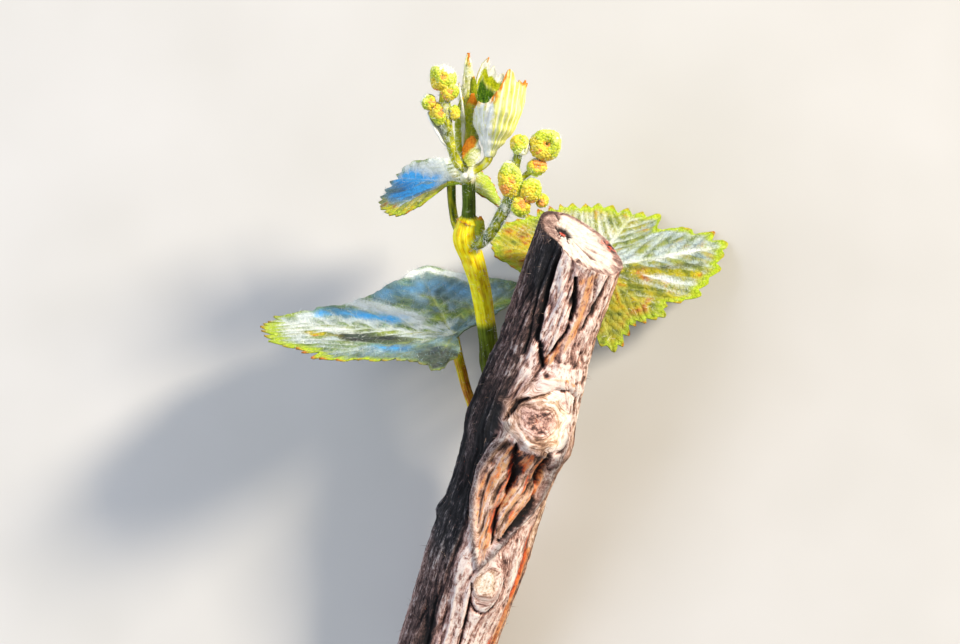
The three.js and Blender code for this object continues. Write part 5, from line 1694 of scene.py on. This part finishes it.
# Shoot tip: folded young leaves one over the other, as (foot, tip, inner side, width, looks). Of the looks,
# lime, under (dark green) and wool are strengths, and tipped is the share of its length where rust begins.
TIP_SCALES = [
    ((7.0, 9.9, 111.3), (7.9, 9.0, 126.2), (0, 1, 0), 3.6,
     {"lime": 1.0, "under": 0.2, "wool": 0.0, "tipped": 0.76}),
    ((7.8, 11.2, 111.6), (8.4, 10.9, 125.5), (-1, 0, 0), 3.2, {"lime": 1.0, "under": 0.3, "wool": 0.1}),
    ((5.6, 11.2, 111.6), (5.0, 11.0, 128.0), (1, 0, 0), 3.4, {"lime": 0.3, "under": 0.0, "wool": 0.8}),
    ((6.7, 12.2, 112.0), (6.6, 12.2, 129.5), (0, -1, 0), 3.2, {"lime": 0.2, "under": 0.0, "wool": 0.9}),
    ((6.6, 10.2, 117.5), (7.1, 10.3, 132.4), (0, 1, 0), 2.8, {"lime": 0.6, "under": 0.0, "wool": 0.5}),
    ((6.9, 11.5, 122.0), (6.9, 11.0, 134.2), (0, -1, 0), 1.9, {"lime": 0.2, "under": 0.0, "wool": 0.6}),
    ((5.3, 10.3, 112.5), (5.7, 10.1, 125.2), (0, 1, 0), 2.6, {"lime": 1.0, "under": 0.05, "wool": 0.0}),
    ((7.4, 10.0, 119.0), (8.1, 10.0, 129.6), (0, 1, 0), 1.9, {"lime": 1.0, "under": 0.45, "wool": 0.05}),
]
TIP_CORE = [(6.8, 11.0, 111.0, 1.3), (6.7, 11.0, 116.0, 1.5), (6.7, 11.0, 122.0, 1.2),
            (6.8, 11.0, 128.0, 0.8), (6.9, 11.0, 131.5, 0.55), (7.0, 11.0, 134.4, 0.25)]
# Small flaps: stipules and a bract, as (node, foot, tip, inner side, width, hollow, looks). A slant moves
# the rust to one side and the down to the other.
FLAPS = [
    ("stipule_centre", (7.4, 8.2, 110.8), (7.8, 7.8, 117.4), (0, 1, 0), 3.9, 0.5,
     {"lime": 0.75, "under": 0.0, "wool": 0.4, "tipped": 0.5, "slant": 0.55}),
    ("stipule_right", (9.0, 10.3, 93.4), (9.5, 10.3, 99.6), (-0.35, 1, 0), 2.6, 0.5,
     {"lime": 1.0, "under": 0.1, "wool": 0.0, "tipped": 0.8}),
    ("bract_left", (3.0, 7.7, 114.9), (-1.5, 6.9, 122.6), (1, -0.6, 0.5), 3.4, 0.4,
     {"lime": 0.3, "under": 0.9, "wool": 0.9, "tipped": 2.0, "slant": 1.0}),
]
SCALE_STEPS, SCALE_COLUMNS = 40, 21


def folded_scale(foot, tip, inner, width, hollow, looks, seed):
    """A small pointed scale with a rusty tip: its points, faces, masks and flat map."""
    rows = scale_rows(foot, tip, inner, width, hollow, SCALE_STEPS, SCALE_COLUMNS)
    share = np.broadcast_to(np.linspace(0, 1, SCALE_STEPS)[:, None], rows.shape[:2])
    side = np.broadcast_to(np.linspace(-1, 1, SCALE_COLUMNS)[None, :], rows.shape[:2])
    slant = looks.get("slant", 0) * side
    fine = layered(rows / 0.8, 2, seed)
    points, faces = sheet(rows, 0.36, 0.08 * fine * np.sin(np.pi * share))
    rust = looks.get("tipped", 0.93)
    tipped = ease(share + 0.6 * slant + 0.04 * fine, rust, rust + 0.14)
    wool = looks["wool"] * (1 + 0.4 * fine - 1.2 * slant) * (1 - tipped)
    one_side = {
        "lime": looks["lime"] * (1 + 0.3 * fine), "under": looks["under"] * (1 + 0.3 * fine + 0.6 * slant),
        "tip": tipped, "wool": wool, "vein": 0.6 * fade(side, 0.12), "streak": 0.75 + 0.4 * fine,
    }
    masks = {name: both_sides(np.clip(values, 0, 1), False) for name, values in one_side.items()}
    flat = np.stack([rows[..., 0], rows[..., 2]], -1).reshape(-1, 2)
    return points, faces, masks, np.concatenate([flat, flat])


def small_leaves_piece(settings):
    """The shoot's tip with its folded leaves, and the small flaps beside it."""
    core = Limb(TIP_CORE, 24, 90)
    relief, rough = stem_relief(core, 7, 4, 0.08)
    core_points, core_faces = core.skin(relief)
    nothing = np.zeros(rough.shape)
    top = ease(core.centres[:, 2], 132, 133.4)[:, None] + nothing
    core_masks = {"lime": 0.7 + 0.3 * rough, "under": nothing, "tip": top, "wool": 0.05 + 0.25 * rough,
                  "vein": nothing, "streak": 0.8 + nothing}
    core_masks = {name: with_ends(values) for name, values in core_masks.items()}
    made = [(core_points, core_faces, core_masks, core.flat())]
    for number, (foot, tip, inner, width, looks) in enumerate(TIP_SCALES):
        made.append(folded_scale(foot, tip, inner, width, 0.9, looks, 101 + number))
    points, faces = joined([part[:2] for part in made])
    masks = {name: np.clip(np.concatenate([part[2][name] for part in made]), 0, 1) for name in core_masks}
    finish = finish_of("unfolding vine leaf", unfolding_leaf)
    tips = new_piece("shoot_tip_leaves", points, faces, [finish], ["shoot_tip"], masks,
                     np.concatenate([part[3] for part in made]))
    down_on(tips, "shoot_tip_down", masks["wool"], settings.hairs, 1.2, 0.4, 1.2, 113)
    for number, (node, foot, tip, inner, width, hollow, looks) in enumerate(FLAPS):
        points, faces, masks, flat = folded_scale(foot, tip, inner, width, hollow, looks, 121 + number)
        new_piece(node + "_scale", points, faces, [finish], [node], masks, flat)


# The stage: a plain pale floor, a warm key lamp where the sun stood, and a cool fill
# The camera's target, tilt and distance, and how wide the picture is at the target, in millimetres
CAMERA_TARGET = (9.4, 0.0, 79.2)
CAMERA_TILT = math.radians(15)
CAMERA_AWAY = 600.0
PICTURE_WIDTH = 201.6
SENSOR = 36.0


def aimed(name, data, place, target):
    """An object that stands at a place and looks at a target, both in metres."""
    made = placed(name, data)
    way = Vector(target) - Vector(place)
    made.matrix_world = Matrix.Translation(place) @ way.to_track_quat("-Z", "Y").to_matrix().to_4x4()
    return made


def camera():
    """The photo's camera, which looks down a little on the standing part."""
    data = bpy.data.cameras.new("camera")
    data.sensor_width = SENSOR
    data.lens = SENSOR * CAMERA_AWAY / PICTURE_WIDTH
    forward = np.array([0, math.cos(CAMERA_TILT), -math.sin(CAMERA_TILT)])
    up = np.array([0, math.sin(CAMERA_TILT), math.cos(CAMERA_TILT)])
    target = np.array(CAMERA_TARGET)
    place = laid(target - CAMERA_AWAY * forward)
    back = Vector(place - laid(target)).normalized()
    up = Vector(laid(target + up) - laid(target)).normalized()
    right = up.cross(back)
    made = placed("camera", data)
    made.matrix_world = Matrix((right, up, back)).transposed().to_4x4()
    made.location = place
    bpy.context.scene.camera = made
    return made


# The lamps shine on the middle of the leaves
LIT_PLACE = (12.0, 8.0, 85.0)


def lamp(name, way, away, size, power, colour):
    """A square lamp that shines on the plant from a standing direction."""
    data = bpy.data.lights.new(name, "AREA")
    data.size = size
    data.energy = power
    data.color = colour[:3]
    middle = laid(np.array(LIT_PLACE))
    turned = np.array(LAID_TURN) @ unit(way)
    return aimed(name, data, middle + turned * away, middle)


def stage(settings):
    """The floor, two lamps, light from all round and the camera."""
    side = settings.floor_side / 2
    mesh = bpy.data.meshes.new("floor")
    corners = [(-side, -side, 0), (side, -side, 0), (side, side, 0), (-side, side, 0)]
    mesh.from_pydata(corners, [], [(0, 1, 2, 3)])
    mesh.materials.append(mottled_finish("pale card"))
    floor = placed("floor", mesh)
    lamp("key", (0.66, -0.5, 0.62), 2.1, 0.42, settings.key_power, linear("#fff3e0"))
    lamp("fill", (-0.8, -0.5, 0.3), 0.9, 0.7, settings.fill_power, linear("#dfe9ff"))
    world = bpy.data.worlds.new("studio")
    world.use_nodes = True
    background = next(n for n in world.node_tree.nodes if n.type == "BACKGROUND")
    background.inputs["Color"].default_value = linear("#dfe4ea")
    background.inputs["Strength"].default_value = settings.sky
    bpy.context.scene.world = world
    bpy.context.scene.view_settings.view_transform = "Standard"
    camera()


# What a user may change
class VineWoodSettings(bpy.types.PropertyGroup):
    """Settings of the old wood"""
    relief: bpy.props.FloatProperty(name="Bark relief", description="How rugged the bark is", default=1.0,
                                    min=0.0, max=1.5, subtype="FACTOR")
    threads: bpy.props.FloatProperty(name="Threads", description="Torn threads on the bark, for each square "
                                     "millimetre of a frayed edge", default=9.0, min=0.0, max=30.0)


class VineGreenSettings(bpy.types.PropertyGroup):
    """Settings of the shoot, the leaves and the flower clusters"""
    pucker: bpy.props.FloatProperty(name="Pucker", description="How far the leaf swells between its veins",
                                    default=1.0, min=0.0, max=1.5, subtype="FACTOR")
    hairs: bpy.props.FloatProperty(name="Down", description="Hairs on a square millimetre of felt",
                                   default=9.0, min=0.0, max=20.0)


class VineStageSettings(bpy.types.PropertyGroup):
    """Settings of the floor and the lamps"""
    floor_side: bpy.props.FloatProperty(name="Floor side", description="Side of the square floor",
                                        default=4.0, unit="LENGTH")
    key_power: bpy.props.FloatProperty(name="Key lamp", description="Power of the key lamp", default=72.0,
                                       unit="POWER")
    fill_power: bpy.props.FloatProperty(name="Fill lamp", description="Power of the fill lamp", default=5.5,
                                        unit="POWER")
    sky: bpy.props.FloatProperty(name="Sky", description="Strength of the light from all round",
                                 default=0.45)


class VINE_OT_old_wood(bpy.types.Operator):
    """Make the old wood with its bark and its two cuts"""
    bl_idname = "vine.old_wood"
    bl_label = "Old wood"

    def execute(self, context):
        old_wood_piece(context.scene.vine_wood)
        return {"FINISHED"}


class VINE_OT_stems(bpy.types.Operator):
    """Make the green shoot, the leaf stalks and the old bud scales"""
    bl_idname = "vine.stems"
    bl_label = "Shoot, stalks and bud scales"

    def execute(self, context):
        green = context.scene.vine_green
        shoot_piece(green)
        petiole_pieces(green)
        bud_scale_piece(green)
        return {"FINISHED"}


class VINE_OT_leaves(bpy.types.Operator):
    """Make the three open leaves and the rolled one, with their down"""
    bl_idname = "vine.leaves"
    bl_label = "Leaves"

    def execute(self, context):
        leaf_pieces(context.scene.vine_green)
        cup_leaf_piece(context.scene.vine_green)
        return {"FINISHED"}


class VINE_OT_flowers(bpy.types.Operator):
    """Make the two clusters of unopened flower buds"""
    bl_idname = "vine.flowers"
    bl_label = "Flower clusters"

    def execute(self, context):
        for cluster in (CLUSTER_MID, CLUSTER_TOP):
            cluster_piece(cluster, context.scene.vine_green)
        return {"FINISHED"}


class VINE_OT_small_leaves(bpy.types.Operator):
    """Make the folded leaves of the shoot tip, the stipules and the bract"""
    bl_idname = "vine.small_leaves"
    bl_label = "Shoot tip and stipules"

    def execute(self, context):
        small_leaves_piece(context.scene.vine_green)
        return {"FINISHED"}


class VINE_OT_stage(bpy.types.Operator):
    """Make the floor, the lamps and the camera"""
    bl_idname = "vine.stage"
    bl_label = "Stage"

    def execute(self, context):
        stage(context.scene.vine_stage)
        return {"FINISHED"}


OPERATORS = (VINE_OT_old_wood, VINE_OT_stems, VINE_OT_leaves, VINE_OT_flowers, VINE_OT_small_leaves,
             VINE_OT_stage)
SETTINGS = {"vine_wood": VineWoodSettings, "vine_green": VineGreenSettings, "vine_stage": VineStageSettings}


class VINE_PT_panel(bpy.types.Panel):
    """The vine's settings and the buttons that build it"""
    bl_idname = "VINE_PT_panel"
    bl_label = "Grapevine spur"
    bl_space_type = "VIEW_3D"
    bl_region_type = "UI"
    bl_category = "Vine"

    def draw(self, context):
        for name, group in SETTINGS.items():
            for setting in group.__annotations__:
                self.layout.prop(getattr(context.scene, name), setting)
        for operator in OPERATORS:
            self.layout.operator(operator.bl_idname)


def register():
    for group in SETTINGS.values():
        bpy.utils.register_class(group)
    for operator in OPERATORS:
        bpy.utils.register_class(operator)
    bpy.utils.register_class(VINE_PT_panel)
    for name, group in SETTINGS.items():
        setattr(bpy.types.Scene, name, bpy.props.PointerProperty(type=group))


def unregister():
    for name in SETTINGS:
        delattr(bpy.types.Scene, name)
    bpy.utils.unregister_class(VINE_PT_panel)
    for operator in reversed(OPERATORS):
        bpy.utils.unregister_class(operator)
    for group in SETTINGS.values():
        bpy.utils.unregister_class(group)


def main():
    register()
    for operator in OPERATORS:
        made = getattr(bpy.ops.vine, operator.bl_idname.split(".")[1])()
        if made != {"FINISHED"}:
            raise RuntimeError(operator.bl_label + " wasn't made")
    for item in ("hair_item", "bud_item"):
        bpy.data.objects.remove(bpy.data.objects[item])


if __name__ == "__main__":
    main()
